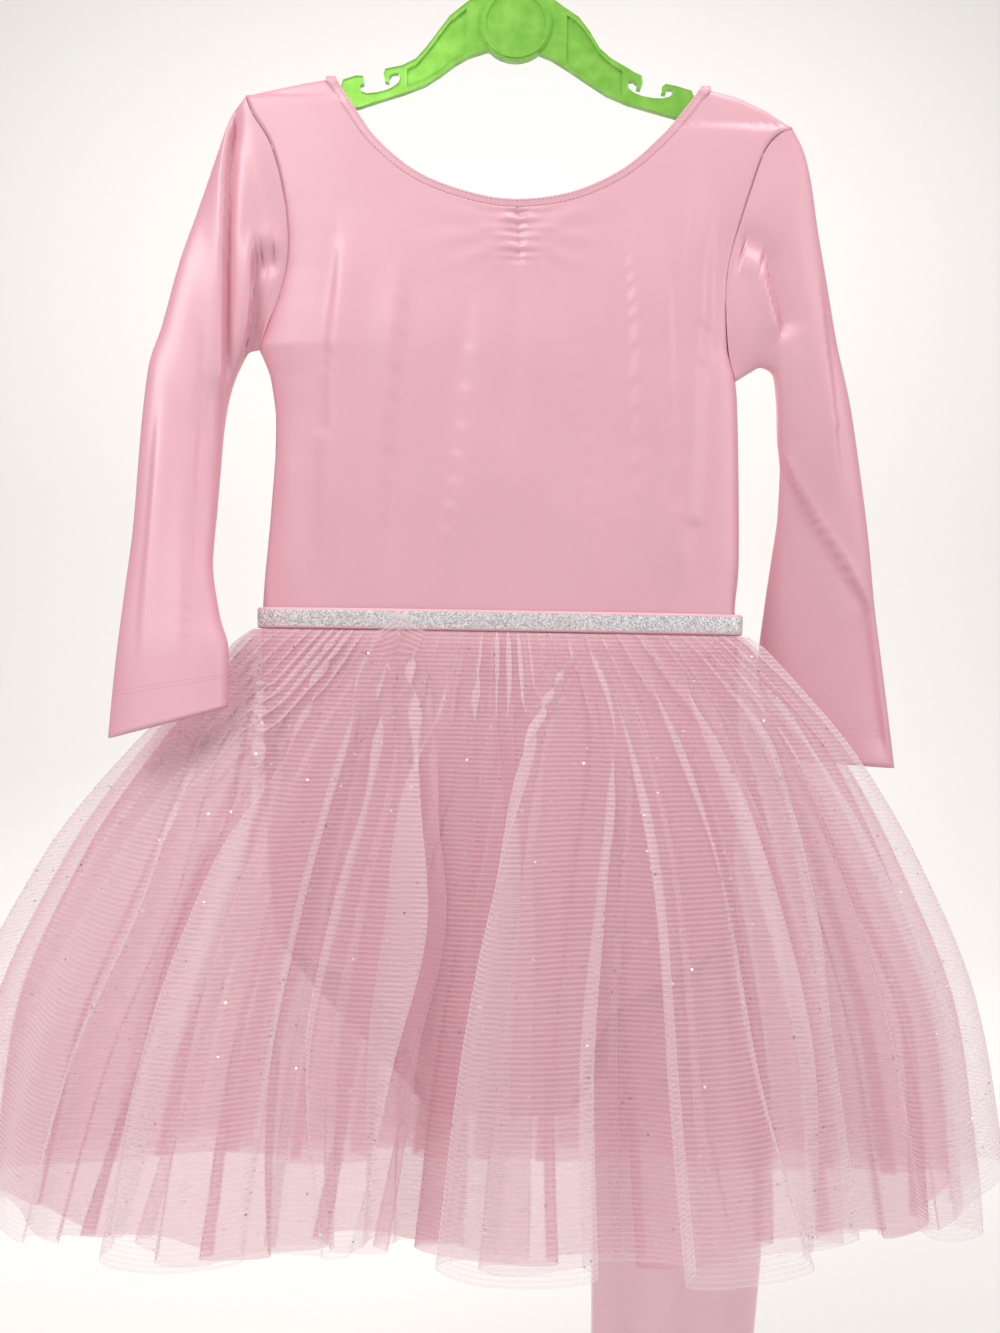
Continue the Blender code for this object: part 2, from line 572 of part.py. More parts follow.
def inside(loop, x, z):
    """Whether the point lies inside the closed loop."""
    found = False
    for (x0, z0), (x1, z1) in zip(loop, loop[1:] + loop[:1]):
        if (z0 > z) != (z1 > z) and x < x0 + (z - z0) * (x1 - x0) / (z1 - z0):
            found = not found
    return found


def pocket_outline(top, bottom, from_x, to_x, steps=8):
    """The sunk field of an arm, one rim inside its upper and lower edges."""
    xs = np.linspace(from_x, to_x, steps)
    upper = [(x, look_up(top, "x", x, "z") - HANGER_RIM) for x in xs]
    lower = [(x, look_up(bottom, "x", x, "z") + HANGER_RIM) for x in xs]
    return upper[::-1] + lower


def stepped_plate(name, loops, look):
    """A plate in the middle plane: each loop gives the half thickness inside it, and a later loop rules."""
    flat = []
    edges = []
    for loop, _ in loops:
        first = len(flat)
        flat += [Vector(p) for p in loop]
        edges += [(first + i, first + (i + 1) % len(loop)) for i in range(len(loop))]
    points, _, triangles, _, _, _ = delaunay_2d_cdt(flat, edges, [], 0, 1e-4)
    kept = []
    for triangle in triangles:
        x = sum(points[i][0] for i in triangle) / 3
        z = sum(points[i][1] for i in triangle) / 3
        half = 0.0
        for loop, inner_half in loops:
            if inside(loop, x, z):
                half = inner_half
        if half > 0:
            kept.append((list(triangle), half))
    owner = {}
    levels = {}
    for triangle, half in kept:
        for i, j in zip(triangle, triangle[1:] + triangle[:1]):
            owner[(i, j)] = half
            levels.setdefault(i, set()).update((-half, half))
    index = {}
    verts = []

    def vertex(i, y):
        if (i, y) not in index:
            index[(i, y)] = len(verts)
            verts.append((points[i][0], y, points[i][1]))
        return index[(i, y)]

    faces = []
    for triangle, half in kept:
        faces.append([vertex(i, -half) for i in triangle])
        faces.append([vertex(i, half) for i in triangle[::-1]])
    for (i, j), half in owner.items():
        low = owner.get((j, i), 0.0)
        spans = [(-half, half)] if low == 0 else [(-half, -low), (low, half)]
        for start, end in spans if low < half else []:
            first = [vertex(i, y) for y in sorted(levels[i]) if start <= y <= end]
            second = [vertex(j, y) for y in sorted(levels[j]) if start <= y <= end]
            faces += [[second[0], first[k], first[k + 1]] for k in range(len(first) - 1)]
            faces += [[first[-1], second[k + 1], second[k]] for k in range(len(second) - 1)]
    return solid_from(name, verts, faces, look)


def hanger(look):
    """The moulded plate with a rim round each arm, two strap notches an arm and a bare disc."""
    def points(table):
        return list(zip(table["x"], table["z"]))

    outline = points(HANGER_LEFT_TOP) + points(HANGER_RIGHT_TOP)
    outline += points(HANGER_RIGHT_BOTTOM)[::-1] + points(HANGER_LEFT_BOTTOM)[::-1]
    smooth_left = {"x": [-62.0, -54.6, -49.1, -42.2, -36.2, -26.1], "z": [-98.9, -95.1, -89.0, -79.5, -71.2, -62.9]}
    smooth_right = {"x": [27.0, 34.7, 41.0, 46.3, 52.7, 60.4], "z": [-65.8, -70.8, -78.9, -87.6, -93.2, -97.5]}
    sunk = HANGER_HALF - HANGER_POCKET
    return stepped_plate("hanger", [
        (outline, HANGER_HALF),
        (pocket_outline(smooth_left, HANGER_LEFT_BOTTOM, -59.0, -27.0), sunk),
        (pocket_outline(smooth_right, HANGER_RIGHT_BOTTOM, 28.0, 59.0), sunk),
        (circle((0.0, DISC_Z), DISC_RADIUS, 32), DISC_HALF - 0.8),
        (circle((0.0, DISC_Z), DISC_RADIUS - 1.0, 32), DISC_HALF),
        (circle((0.0, DISC_Z), DISC_FACE_RADIUS, 32), DISC_HALF - 0.8),
    ], look)


def hanger_hook(look):
    """The wire hook: a shank from the disc and a bend whose inside top is the origin."""
    radius = HOOK_INSIDE + WIRE / 2
    centre_z = -HOOK_INSIDE
    path = [(0.0, 0.0, DISC_Z + DISC_RADIUS + 0.3), (0.0, 0.0, -46.0)]
    for degree in range(-60, 181, 15):
        turn = math.radians(180 - degree)
        path.append((radius * math.cos(turn), 0.0, centre_z + radius * math.sin(turn)))
    start = path[2]
    path.insert(2, (start[0] * 0.35, 0.0, (start[2] - 46.0) / 2 - 1.5))
    curve = bpy.data.curves.new("hanger_hook", "CURVE")
    curve.dimensions = "3D"
    curve.bevel_depth = WIRE / 2 * MM
    curve.bevel_resolution = 2
    curve.use_fill_caps = True
    line = curve.splines.new("POLY")
    line.points.add(len(path) - 1)
    for point, (x, y, z) in zip(line.points, path):
        point.co = (x * MM, y * MM, z * MM, 1.0)
    curve.materials.append(look)
    obj = bpy.data.objects.new("hanger_hook", curve)
    bpy.context.scene.collection.objects.link(obj)
    return obj


def skirt_back(x, z):
    """How far behind the middle plane the skirt's even form lies here, and the waist's above it."""
    drop = min(max(0.0, WAIST_Z - z), SKIRT["drop"][-1])
    width = look_up(SKIRT, "drop", drop, "half_width")
    s = (x - look_up(SKIRT, "drop", drop, "lean")) / width
    return look_up(SKIRT, "drop", drop, "behind") * dome(s, look_up(SKIRT, "drop", drop, "round"))


def sash_tail(look, columns=5):
    """The doubled strip that hangs from the waist behind the skirt."""
    grid = []
    for i, z in enumerate(SASH["z"]):
        row = []
        for k, s in enumerate(np.linspace(-1, 1, columns)):
            x = (SASH["left"][i] + SASH["right"][i]) / 2 + (SASH["right"][i] - SASH["left"][i]) / 2 * s
            row.append((x, skirt_back(x, z) + SASH["off_skirt"][i], z))
        grid.append(row)
    return wall("sash_tail", grid, SASH_WALL, look)


def main():
    clear_scene()
    satin = material("pink_satin", (0.72, 0.44, 0.48), 0.42)
    pale = material("pale_tulle", (0.78, 0.62, 0.66), 0.8, 0.75)
    pink = material("pink_tulle", (0.75, 0.48, 0.53), 0.8, 0.85)
    silver = material("glitter_elastic", (0.68, 0.66, 0.68), 0.35)
    green = material("green_plastic", (0.25, 0.62, 0.09), 0.25, 0.8)
    steel = material("hook_plastic", (0.25, 0.62, 0.09), 0.25, 0.8)
    panel("bodice_front", "front", FRONT_ROWS, satin)
    panel("bodice_back", "back", BACK_ROWS, satin)
    sleeve("sleeve_left", LEFT_SLEEVE, LEFT_EDGE, LEFT_UNDERARM_Z, satin)
    sleeve("sleeve_right", RIGHT_SLEEVE, RIGHT_EDGE, RIGHT_UNDERARM_Z, satin)
    neck_binding(satin)
    brief_panel("brief_front", "front", satin)
    brief_panel("brief_back", "back", satin)
    half_way = (1 - np.cos(np.arange(20) * math.pi / 20)) / 4
    around = np.concatenate([half_way, half_way + 0.5])
    out = SATIN_WALL / 2 + 0.3 + BAND_WALL / 2
    wall("waistband", [waist_ring(BAND_TOP_Z, out + 0.6, around), waist_ring(BAND_BOTTOM_Z, out + 0.2, around)],
         BAND_WALL, silver, wrap=True)
    for i, look in enumerate((pink, pale, pale)):
        skirt_layer(i, look)
    sash_tail(pink)
    hanger(green)
    hanger_hook(steel)


main()
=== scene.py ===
"""Looks of a child's ballet dress on a plastic hanger: satin, tulle, glitter, stitching and light."""

import math

import bmesh
import bpy
import numpy as np
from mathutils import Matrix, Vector


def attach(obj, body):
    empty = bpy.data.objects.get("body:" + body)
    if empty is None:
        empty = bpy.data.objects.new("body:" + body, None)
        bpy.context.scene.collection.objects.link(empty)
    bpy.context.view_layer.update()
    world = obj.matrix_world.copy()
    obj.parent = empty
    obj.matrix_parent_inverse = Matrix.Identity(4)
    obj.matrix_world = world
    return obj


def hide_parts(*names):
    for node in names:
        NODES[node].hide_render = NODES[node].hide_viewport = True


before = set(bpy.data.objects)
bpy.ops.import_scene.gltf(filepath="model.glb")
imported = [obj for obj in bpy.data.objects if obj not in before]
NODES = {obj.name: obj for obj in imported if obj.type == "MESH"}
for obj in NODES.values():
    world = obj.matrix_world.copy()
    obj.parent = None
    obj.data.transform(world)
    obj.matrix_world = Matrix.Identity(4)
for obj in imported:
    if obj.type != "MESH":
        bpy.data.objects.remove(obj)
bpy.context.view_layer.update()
MM = 0.001
RNG = np.random.default_rng(7)

# ---- shared sizes, in millimetres ----
WAIST_Z = -409.0
SATIN = 1.0
LEFT_SHOULDER = np.array([(-147.3, -117.0), (-132.0, -113.4), (-115.0, -109.8), (-98.0, -106.8)])
RIGHT_SHOULDER = np.array([(102.0, -109.0), (121.9, -113.7), (137.9, -120.5), (152.9, -130.2)])
NECK_X = np.array([-98.0, -87.6, -73.5, -51.2, -23.5, 1.8, 31.5, 58.8, 80.5, 93.9, 102.0])
NECK_FRONT = np.array([-106.8, -123.2, -142.2, -160.0, -170.5, -174.0, -169.6, -156.5, -136.9, -120.2, -109.0])
NECK_BACK = np.array([-106.8, -126.0, -148.5, -169.5, -182.5, -186.5, -181.8, -166.0, -143.0, -123.4, -109.0])
BINDING_WIDTH = 5.4
LEFT_EDGE = np.array([
    (-147.3, -117.0), (-142.5, -128.5), (-133.5, -142.1), (-127.7, -158.0), (-123.2, -178.8), (-121.6, -196.4),
    (-122.6, -212.3), (-126.8, -228.4), (-131.8, -240.5), (-137.6, -255.5), (-131.3, -270.2), (-127.7, -291.1),
    (-127.6, -314.7), (-130.0, -353.3), (-132.3, -381.4), (-133.6, WAIST_Z)])
RIGHT_EDGE = np.array([
    (152.9, -130.2), (144.5, -134.5), (136.4, -144.8), (128.0, -169.7), (120.5, -196.0), (117.4, -213.6),
    (117.2, -231.2), (119.3, -254.0), (123.4, -268.8), (124.7, -282.5), (126.2, -323.2), (127.0, -370.5),
    (125.2, -394.8), (127.3, WAIST_Z)])
UNDERARM = {"left": -255.5, "right": -268.8}
UNDERARM_SHARE = 0.48
DEPTH_DROP = [0.0, 0.9, 4.0, 20.0, 60.0, 110.0, 150.0, 220.0, 300.0]
DEPTH_MIDDLE = [0.45, 3.7, 5.1, 6.8, 10.8, 15.0, 17.0, 16.0, 12.7]
DEPTH_EDGE = [0.45, 3.7, 5.1, 6.0, 7.0, 5.0, 0.45, 0.45, 0.45]


def smooth_table(at, keys, values):
    """A smooth curve through a table, with no overshoot."""
    keys, values = np.asarray(keys, float), np.asarray(values, float)
    if keys[0] > keys[-1]:
        keys, values = keys[::-1], values[::-1]
    at = np.clip(np.asarray(at, float), keys[0], keys[-1])
    gap = np.diff(keys)
    slope = np.diff(values) / gap
    tangent = np.zeros(len(keys))
    inner = slope[:-1] * slope[1:] > 0
    tangent[1:-1][inner] = 2 * slope[:-1][inner] * slope[1:][inner] / (slope[:-1][inner] + slope[1:][inner])
    tangent[0], tangent[-1] = slope[0], slope[-1]
    k = np.clip(np.searchsorted(keys, at, side="right") - 1, 0, len(gap) - 1)
    t = (at - keys[k]) / gap[k]
    h = gap[k]
    return ((2 * t ** 3 - 3 * t ** 2 + 1) * values[k] + (t ** 3 - 2 * t ** 2 + t) * h * tangent[k]
            + (-2 * t ** 3 + 3 * t ** 2) * values[k + 1] + (t ** 3 - t ** 2) * h * tangent[k + 1])


def curve_through(points, shares, fine=12):
    """Points at these shares of a smooth curve's length."""
    p = np.asarray(points, float)
    ext = np.vstack([2 * p[0] - p[1], p, 2 * p[-1] - p[-2]])
    t = np.linspace(0, 1, fine, endpoint=False)[:, None]
    parts = []
    for i in range(len(p) - 1):
        a, b, c, d = ext[i:i + 4]
        parts.append(0.5 * (2 * b + (c - a) * t + (2 * a - 5 * b + 4 * c - d) * t ** 2
                            + (3 * b - a - 3 * c + d) * t ** 3))
    line = np.vstack(parts + [p[-1:]])
    done = np.concatenate([[0], np.cumsum(np.linalg.norm(np.diff(line, axis=0), axis=1))])
    done /= done[-1]
    return np.stack([np.interp(shares, done, line[:, k]) for k in range(p.shape[1])], axis=1)


def shoulder_z(x):
    x = np.asarray(x, float)
    left = np.interp(x, LEFT_SHOULDER[:, 0], LEFT_SHOULDER[:, 1])
    right = np.interp(x, RIGHT_SHOULDER[:, 0], RIGHT_SHOULDER[:, 1])
    return np.where(x < 0, left, right)


def edge_x(z, side):
    table = LEFT_EDGE if side == "left" else RIGHT_EDGE
    return np.interp(-np.asarray(z, float), -table[:, 1], table[:, 0])


def dome(s, power=3.0):
    return np.sqrt(np.maximum(0.0, 1 - np.abs(s) ** power))


def bodice_depth(x, z):
    """How far the cloth lies from the middle plane."""
    left, right = edge_x(z, "left"), edge_x(z, "right")
    s = np.clip((x - (left + right) / 2) / ((right - left) / 2), -1, 1)
    middle = smooth_table(np.maximum(0, shoulder_z(x) - z), DEPTH_DROP, DEPTH_MIDDLE)
    side = np.where(x < 0, left, right)
    edge = smooth_table(np.maximum(0, shoulder_z(side) - z), DEPTH_DROP, DEPTH_EDGE)
    low = np.where(x < 0, UNDERARM["left"], UNDERARM["right"])
    edge = np.where(z <= low + 0.01, 0.45, edge)
    edge = np.minimum(edge, middle)
    return edge + (middle - edge) * dome(s)


def blur(values, passes=1, axis=0):
    """Evens out steps along one axis."""
    for _ in range(passes):
        v = np.moveaxis(values, axis, 0)
        v[1:-1] = (v[:-2] + 2 * v[1:-1] + v[2:]) / 4
        values = np.moveaxis(v, 0, axis)
    return values


# ---- meshes ----
def normals(grid, wrap):
    down = np.gradient(grid, axis=0)
    across = (np.roll(grid, -1, 1) - np.roll(grid, 1, 1)) / 2 if wrap else np.gradient(grid, axis=1)
    n = np.cross(across, down)
    return n / np.maximum(np.linalg.norm(n, axis=2, keepdims=True), 1e-9)


def sheet_mesh(name, grid, look, wrap=False, uv=None, thick=0.0, flip=False):
    """A mesh on a grid of rows and columns in millimetres, as one skin or as a closed thin shell."""
    rows, columns, _ = grid.shape
    if uv is None:
        step_u = np.linalg.norm(np.diff(grid, axis=1), axis=2).mean(axis=0)
        step_v = np.linalg.norm(np.diff(grid, axis=0), axis=2).mean(axis=1)
        u = np.concatenate([[0], np.cumsum(step_u)])
        if wrap:
            u = np.linspace(0, u[-1] * columns / (columns - 1), columns + 1)
        v = np.concatenate([[0], np.cumsum(step_v)])
    else:
        u, v = uv
    layers = [grid]
    if thick:
        n = normals(grid, wrap)
        layers = [grid + n * thick / 2, grid - n * thick / 2]
    count = rows * columns
    verts = np.concatenate([g.reshape(-1, 3) for g in layers]) * MM
    last = columns if wrap else columns - 1
    r, c = np.meshgrid(np.arange(rows - 1), np.arange(last), indexing="ij")
    r, c = r.ravel(), c.ravel()
    n1 = (c + 1) % columns
    quads = np.stack([r * columns + c, r * columns + n1, (r + 1) * columns + n1, (r + 1) * columns + c], axis=1)
    uvs = np.stack([np.stack([u[c], v[r]], 1), np.stack([u[c + 1], v[r]], 1),
                    np.stack([u[c + 1], v[r + 1]], 1), np.stack([u[c], v[r + 1]], 1)], axis=1)
    faces, coords = [quads], [uvs]
    if thick:
        faces.append(quads[:, ::-1] + count)
        coords.append(uvs[:, ::-1])
        k = np.arange(last)
        k1 = (k + 1) % columns
        top = np.stack([k1, k, k + count, k1 + count], 1)
        low = (rows - 1) * columns
        bottom = np.stack([low + k, low + k1, low + k1 + count, low + k + count], 1)
        rims = [top, bottom]
        if not wrap:
            j = np.arange(rows - 1)
            a, b = j * columns, (j + 1) * columns
            rims.append(np.stack([a, b, b + count, a + count], 1))
            a, b = a + columns - 1, b + columns - 1
            rims.append(np.stack([b, a, a + count, b + count], 1))
        for rim in rims:
            faces.append(rim)
            coords.append(np.zeros((len(rim), 4, 2)))
    faces = np.concatenate(faces)
    coords = np.concatenate(coords)
    if flip:
        faces, coords = faces[:, ::-1], coords[:, ::-1]
    mesh = bpy.data.meshes.new(name)
    mesh.vertices.add(len(verts))
    mesh.vertices.foreach_set("co", verts.astype(np.float32).ravel())
    mesh.loops.add(faces.size)
    mesh.loops.foreach_set("vertex_index", faces.astype(np.int32).ravel())
    mesh.polygons.add(len(faces))
    mesh.polygons.foreach_set("loop_start", np.arange(0, faces.size, 4, dtype=np.int32))
    mesh.update(calc_edges=True)
    layer = mesh.uv_layers.new(name="cloth")
    layer.data.foreach_set("uv", (coords.reshape(-1, 2) * MM).astype(np.float32).ravel())
    mesh.shade_smooth()
    mesh.materials.append(look)
    obj = bpy.data.objects.new(name, mesh)
    bpy.context.scene.collection.objects.link(obj)
    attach(obj, "root")
    return obj


def facets_mesh(name, verts, faces, look, smooth=False):
    mesh = bpy.data.meshes.new(name)
    mesh.from_pydata((np.asarray(verts) * MM).tolist(), [], np.asarray(faces).tolist())
    mesh.materials.append(look)
    if smooth:
        mesh.shade_smooth()
    obj = bpy.data.objects.new(name, mesh)
    bpy.context.scene.collection.objects.link(obj)
    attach(obj, "root")
    return obj


# ---- materials ----
class Nodes:
    """Short calls for building one material's node tree."""

    def __init__(self, name):
        self.material = bpy.data.materials.new(name)
        self.material.use_nodes = True
        self.tree = self.material.node_tree
        self.shader = self.tree.nodes["Principled BSDF"]
        self.out = self.tree.nodes["Material Output"]

    def add(self, kind, **values):
        node = self.tree.nodes.new(kind)
        for key, value in values.items():
            if key[0].isupper():
                node.inputs[key.replace("_", " ")].default_value = value
            else:
                setattr(node, key, value)
        return node

    def link(self, a, b):
        self.tree.links.new(a, b)

    def math(self, how, a, b=0.5, clamp=False):
        node = self.add("ShaderNodeMath", operation=how, use_clamp=clamp)
        for socket, value in zip(node.inputs, (a, b)):
            if isinstance(value, (int, float)):
                socket.default_value = value
            else:
                self.link(value, socket)
        return node.outputs[0]

    def ramp(self, factor, stops):
        node = self.add("ShaderNodeValToRGB")
        while len(node.color_ramp.elements) < len(stops):
            node.color_ramp.elements.new(0.5)
        for element, (place, colour) in zip(node.color_ramp.elements, stops):
            element.position = place
            element.color = (*colour, 1) if len(colour) == 3 else colour
        self.link(factor, node.inputs[0])
        return node.outputs[0]

    def bump(self, height, strength, distance):
        node = self.add("ShaderNodeBump", Strength=strength, Distance=distance)
        self.link(height, node.inputs["Height"])
        self.link(node.outputs[0], self.shader.inputs["Normal"])
        return node


def satin_material(name="satin", light=(0.76, 0.42, 0.49), grazing_shade=(0.74, 0.25, 0.34)):
    m = Nodes(name)
    p = m.shader
    p.inputs["Roughness"].default_value = 0.40
    p.inputs["Specular IOR Level"].default_value = 0.9
    p.inputs["Sheen Weight"].default_value = 0.3
    p.inputs["Sheen Roughness"].default_value = 0.35
    p.inputs["Sheen Tint"].default_value = (1.0, 0.82, 0.86, 1)
    uv = m.add("ShaderNodeUVMap", uv_map="cloth")
    # painted sheen and shade: the base colour runs from a pale lit pink where the satin faces the eye to a deeper
    # shaded pink where it turns away
    facing = m.add("ShaderNodeLayerWeight", Blend=0.35)
    base = m.ramp(facing.outputs["Facing"], [(0.0, light), (0.55, tuple((a + b) / 2 for a, b in zip(light, grazing_shade))),
                                             (1.0, grazing_shade)])
    cloud = m.add("ShaderNodeTexNoise", Scale=14.0, Detail=3.0)
    mapped = m.add("ShaderNodeTexCoord")
    m.link(mapped.outputs["Object"], cloud.inputs["Vector"])
    tone = m.add("ShaderNodeMix", data_type="RGBA", blend_type="MULTIPLY")
    tone.inputs["Factor"].default_value = 1.0
    shade = m.ramp(cloud.outputs["Fac"], [(0.3, (0.955, 0.94, 0.945)), (0.7, (1, 1, 1))])
    m.link(base, tone.inputs["A"])
    m.link(shade, tone.inputs["B"])
    m.link(tone.outputs["Result"], p.inputs["Base Color"])
    weave = m.add("ShaderNodeTexNoise", Scale=2600.0, Detail=1.0)
    m.link(uv.outputs[0], weave.inputs["Vector"])
    rib = m.add("ShaderNodeTexWave", Scale=240.0, Distortion=1.5, Detail=1.0)
    rib.bands_direction = "X"
    m.link(uv.outputs[0], rib.inputs["Vector"])
    height = m.math("ADD", m.math("MULTIPLY", weave.outputs["Fac"], 0.7), m.math("MULTIPLY", rib.outputs["Fac"], 0.3))
    m.bump(height, 0.25, 0.00012)
    return m.material


def tulle_material(name, colour, edge_colour, cover, pitch=0.0014, rough=0.75, woven=True):
    """Sheer net: clear between its threads, closer where it turns away from the eye."""
    m = Nodes(name)
    p = m.shader
    p.inputs["Roughness"].default_value = rough
    p.inputs["Specular IOR Level"].default_value = 0.25
    facing = m.add("ShaderNodeLayerWeight", Blend=0.5)
    opaque = m.math("ADD", m.math("MULTIPLY", m.math("POWER", facing.outputs["Facing"], 2.2), 0.55), cover, clamp=True)
    if woven:
        uv = m.add("ShaderNodeUVMap", uv_map="cloth")
        rows = m.add("ShaderNodeTexWave", Scale=0.1592 / pitch, Distortion=0.0)
        rows.bands_direction = "Y"
        m.link(uv.outputs[0], rows.inputs["Vector"])
        opaque = m.math("ADD", opaque, m.math("MULTIPLY", m.math("SUBTRACT", rows.outputs["Fac"], 0.5), 0.22), clamp=True)
    p.inputs["Base Color"].default_value = (*(0.5 * (a + b) for a, b in zip(colour, edge_colour)), 1)
    clear = m.add("ShaderNodeBsdfTransparent")
    glow = m.add("ShaderNodeBsdfTranslucent", Color=(*edge_colour, 1))
    cloth = m.add("ShaderNodeMixShader")
    cloth.inputs[0].default_value = 0.3
    m.link(p.outputs[0], cloth.inputs[1])
    m.link(glow.outputs[0], cloth.inputs[2])
    mix = m.add("ShaderNodeMixShader")
    m.link(opaque, mix.inputs[0])
    m.link(clear.outputs[0], mix.inputs[1])
    m.link(cloth.outputs[0], mix.inputs[2])
    m.link(mix.outputs[0], m.out.inputs["Surface"])
    return m.material


def elastic_material():
    """Silver glitter between two plain pink edges, by the band's own height."""
    m = Nodes("glitter_elastic")
    p = m.shader
    p.inputs["Roughness"].default_value = 0.38
    uv = m.add("ShaderNodeUVMap", uv_map="cloth")
    split = m.add("ShaderNodeSeparateXYZ")
    m.link(uv.outputs[0], split.inputs[0])
    edge = m.ramp(m.math("MULTIPLY", split.outputs["Y"], 1 / 0.0108), [
        (0.0, (0.0,) * 3), (0.10, (0.0,) * 3), (0.13, (1.0,) * 3), (0.87, (1.0,) * 3), (0.90, (0.0,) * 3)])
    cells = m.add("ShaderNodeTexVoronoi", Scale=1700.0)
    m.link(uv.outputs[0], cells.inputs["Vector"])
    spark = m.add("ShaderNodeSeparateColor")
    m.link(cells.outputs["Color"], spark.inputs[0])
    # silver glitter with painted glints: each cell gets a tone from dark grey to near white, which stands in for how
    # much light its flake catches
    silver_with_painted_glints = m.ramp(spark.outputs[0], [(0.0, (0.36, 0.35, 0.36)), (0.35, (0.62, 0.60, 0.61)), (0.8, (0.88, 0.86, 0.87)),
                                       (1.0, (1.0, 0.98, 0.99))])
    mix = m.add("ShaderNodeMix", data_type="RGBA")
    m.link(edge, mix.inputs["Factor"])
    mix.inputs["A"].default_value = (0.80, 0.50, 0.56, 1)
    m.link(silver_with_painted_glints, mix.inputs["B"])
    m.link(mix.outputs["Result"], p.inputs["Base Color"])
    m.link(m.math("MULTIPLY", edge, 0.35), p.inputs["Metallic"])
    m.bump(spark.outputs[1], 0.6, 0.0003)
    return m.material


def plastic_material():
    m = Nodes("hanger_plastic")
    p = m.shader
    p.inputs["Base Color"].default_value = (0.30, 0.66, 0.10, 1)
    p.inputs["Roughness"].default_value = 0.22
    p.inputs["IOR"].default_value = 1.45
    p.inputs["Transmission Weight"].default_value = 0.45
    p.inputs["Subsurface Weight"].default_value = 0.0
    noise = m.add("ShaderNodeTexNoise", Scale=120.0, Detail=2.0)
    place = m.add("ShaderNodeTexCoord")
    m.link(place.outputs["Object"], noise.inputs["Vector"])
    tone = m.ramp(noise.outputs["Fac"], [(0.3, (0.24, 0.60, 0.07)), (0.7, (0.36, 0.74, 0.13))])
    m.link(tone, p.inputs["Base Color"])
    m.bump(noise.outputs["Fac"], 0.15, 0.0003)
    return m.material


def plain_material(name, colour, rough=0.6):
    m = Nodes(name)
    m.shader.inputs["Base Color"].default_value = (*colour, 1)
    m.shader.inputs["Roughness"].default_value = rough
    return m.material


SATIN_LOOK = satin_material()
ELASTIC_LOOK = elastic_material()
PLASTIC_LOOK = plastic_material()
OUTER_LOOK = tulle_material("outer_tulle", (0.84, 0.72, 0.76), (0.93, 0.82, 0.86), 0.26)
MIDDLE_LOOK = tulle_material("middle_tulle", (0.82, 0.54, 0.61), (0.88, 0.62, 0.69), 0.26, woven=False)
UNDER_LOOK = tulle_material("under_tulle", (0.80, 0.36, 0.45), (0.82, 0.42, 0.50), 0.40, woven=False)
SASH_LOOK = tulle_material("sash_tulle", (0.80, 0.50, 0.57), (0.84, 0.58, 0.64), 0.62, woven=False)
THREAD_LOOK = plain_material("pink_thread", (0.62, 0.36, 0.42), 0.7)


# ---- soft creases: a line in the middle plane, with a height and reach on each of its sides ----
def crease(x, z, line, left, right, reach_left, reach_right, fade=0.15):
    """Displacement by a crease line: its left side by one height and its right side by another."""
    line = np.asarray(line, float)
    best = np.full(x.shape, 1e9)
    side = np.zeros(x.shape)
    along = np.zeros(x.shape)
    lengths = np.linalg.norm(np.diff(line, axis=0), axis=1)
    total, done = lengths.sum(), 0.0
    for (x0, z0), (x1, z1), length in zip(line[:-1], line[1:], lengths):
        dx, dz = (x1 - x0) / length, (z1 - z0) / length
        t = np.clip((x - x0) * dx + (z - z0) * dz, 0, length)
        px, pz = x - x0 - dx * t, z - z0 - dz * t
        far = np.hypot(px, pz)
        near = far < best
        best = np.where(near, far, best)
        side = np.where(near, np.sign(dx * pz - dz * px), side)
        along = np.where(near, (done + t) / total, along)
        done += length
    ends = np.clip(along / fade, 0, 1) * np.clip((1 - along) / fade, 0, 1)
    ends = ends * ends * (3 - 2 * ends)
    amount = np.where(side > 0, right * np.exp(-(best / reach_right) ** 2), left * np.exp(-(best / reach_left) ** 2))
    return amount * ends


# Front folds: line, height to the left and right of it, and reach on each side
FRONT_CREASES = [
    ([(112, -150), (108, -200), (104, -280), (98, -400)], 2.6, -1.6, 13, 6, 0.2),
    ([(84, -185), (88, -260), (94, -400)], 1.6, -0.4, 12, 12, 0.25),
    ([(30, -215), (42, -300), (50, -400)], 1.4, -0.5, 14, 12, 0.3),
    ([(-18, -215), (-26, -300), (-38, -395)], -0.5, 1.3, 12, 14, 0.3),
    ([(-56, -200), (-64, -300), (-70, -400)], 1.4, -0.6, 12, 14, 0.25),
    ([(-92, -180), (-100, -280), (-104, -390)], -0.8, 1.8, 10, 14, 0.25),
    ([(3, -205), (2, -250), (0, -330)], -0.9, -0.9, 5, 5, 0.4),
    ([(60, -170), (66, -240), (70, -380)], -1.0, 1.0, 11, 12, 0.3),
    ([(-118, -300), (-116, -350), (-118, -400)], 1.2, 0.6, 8, 8, 0.3),
]
BACK_CREASES = [
    ([(-70, -200), (-76, -300), (-80, -400)], 1.5, -0.6, 13, 13, 0.25),
    ([(-30, -230), (-34, -320), (-30, -400)], -0.6, 1.3, 12, 14, 0.3),
    ([(12, -220), (16, -310), (22, -400)], 1.2, -0.6, 13, 13, 0.3),
    ([(58, -200), (64, -300), (66, -395)], -0.7, 1.4, 12, 13, 0.25),
    ([(100, -180), (104, -280), (102, -395)], 1.6, -0.6, 12, 10, 0.25),
    ([(-104, -190), (-108, -300), (-108, -390)], 1.2, -0.5, 10, 10, 0.25),
]


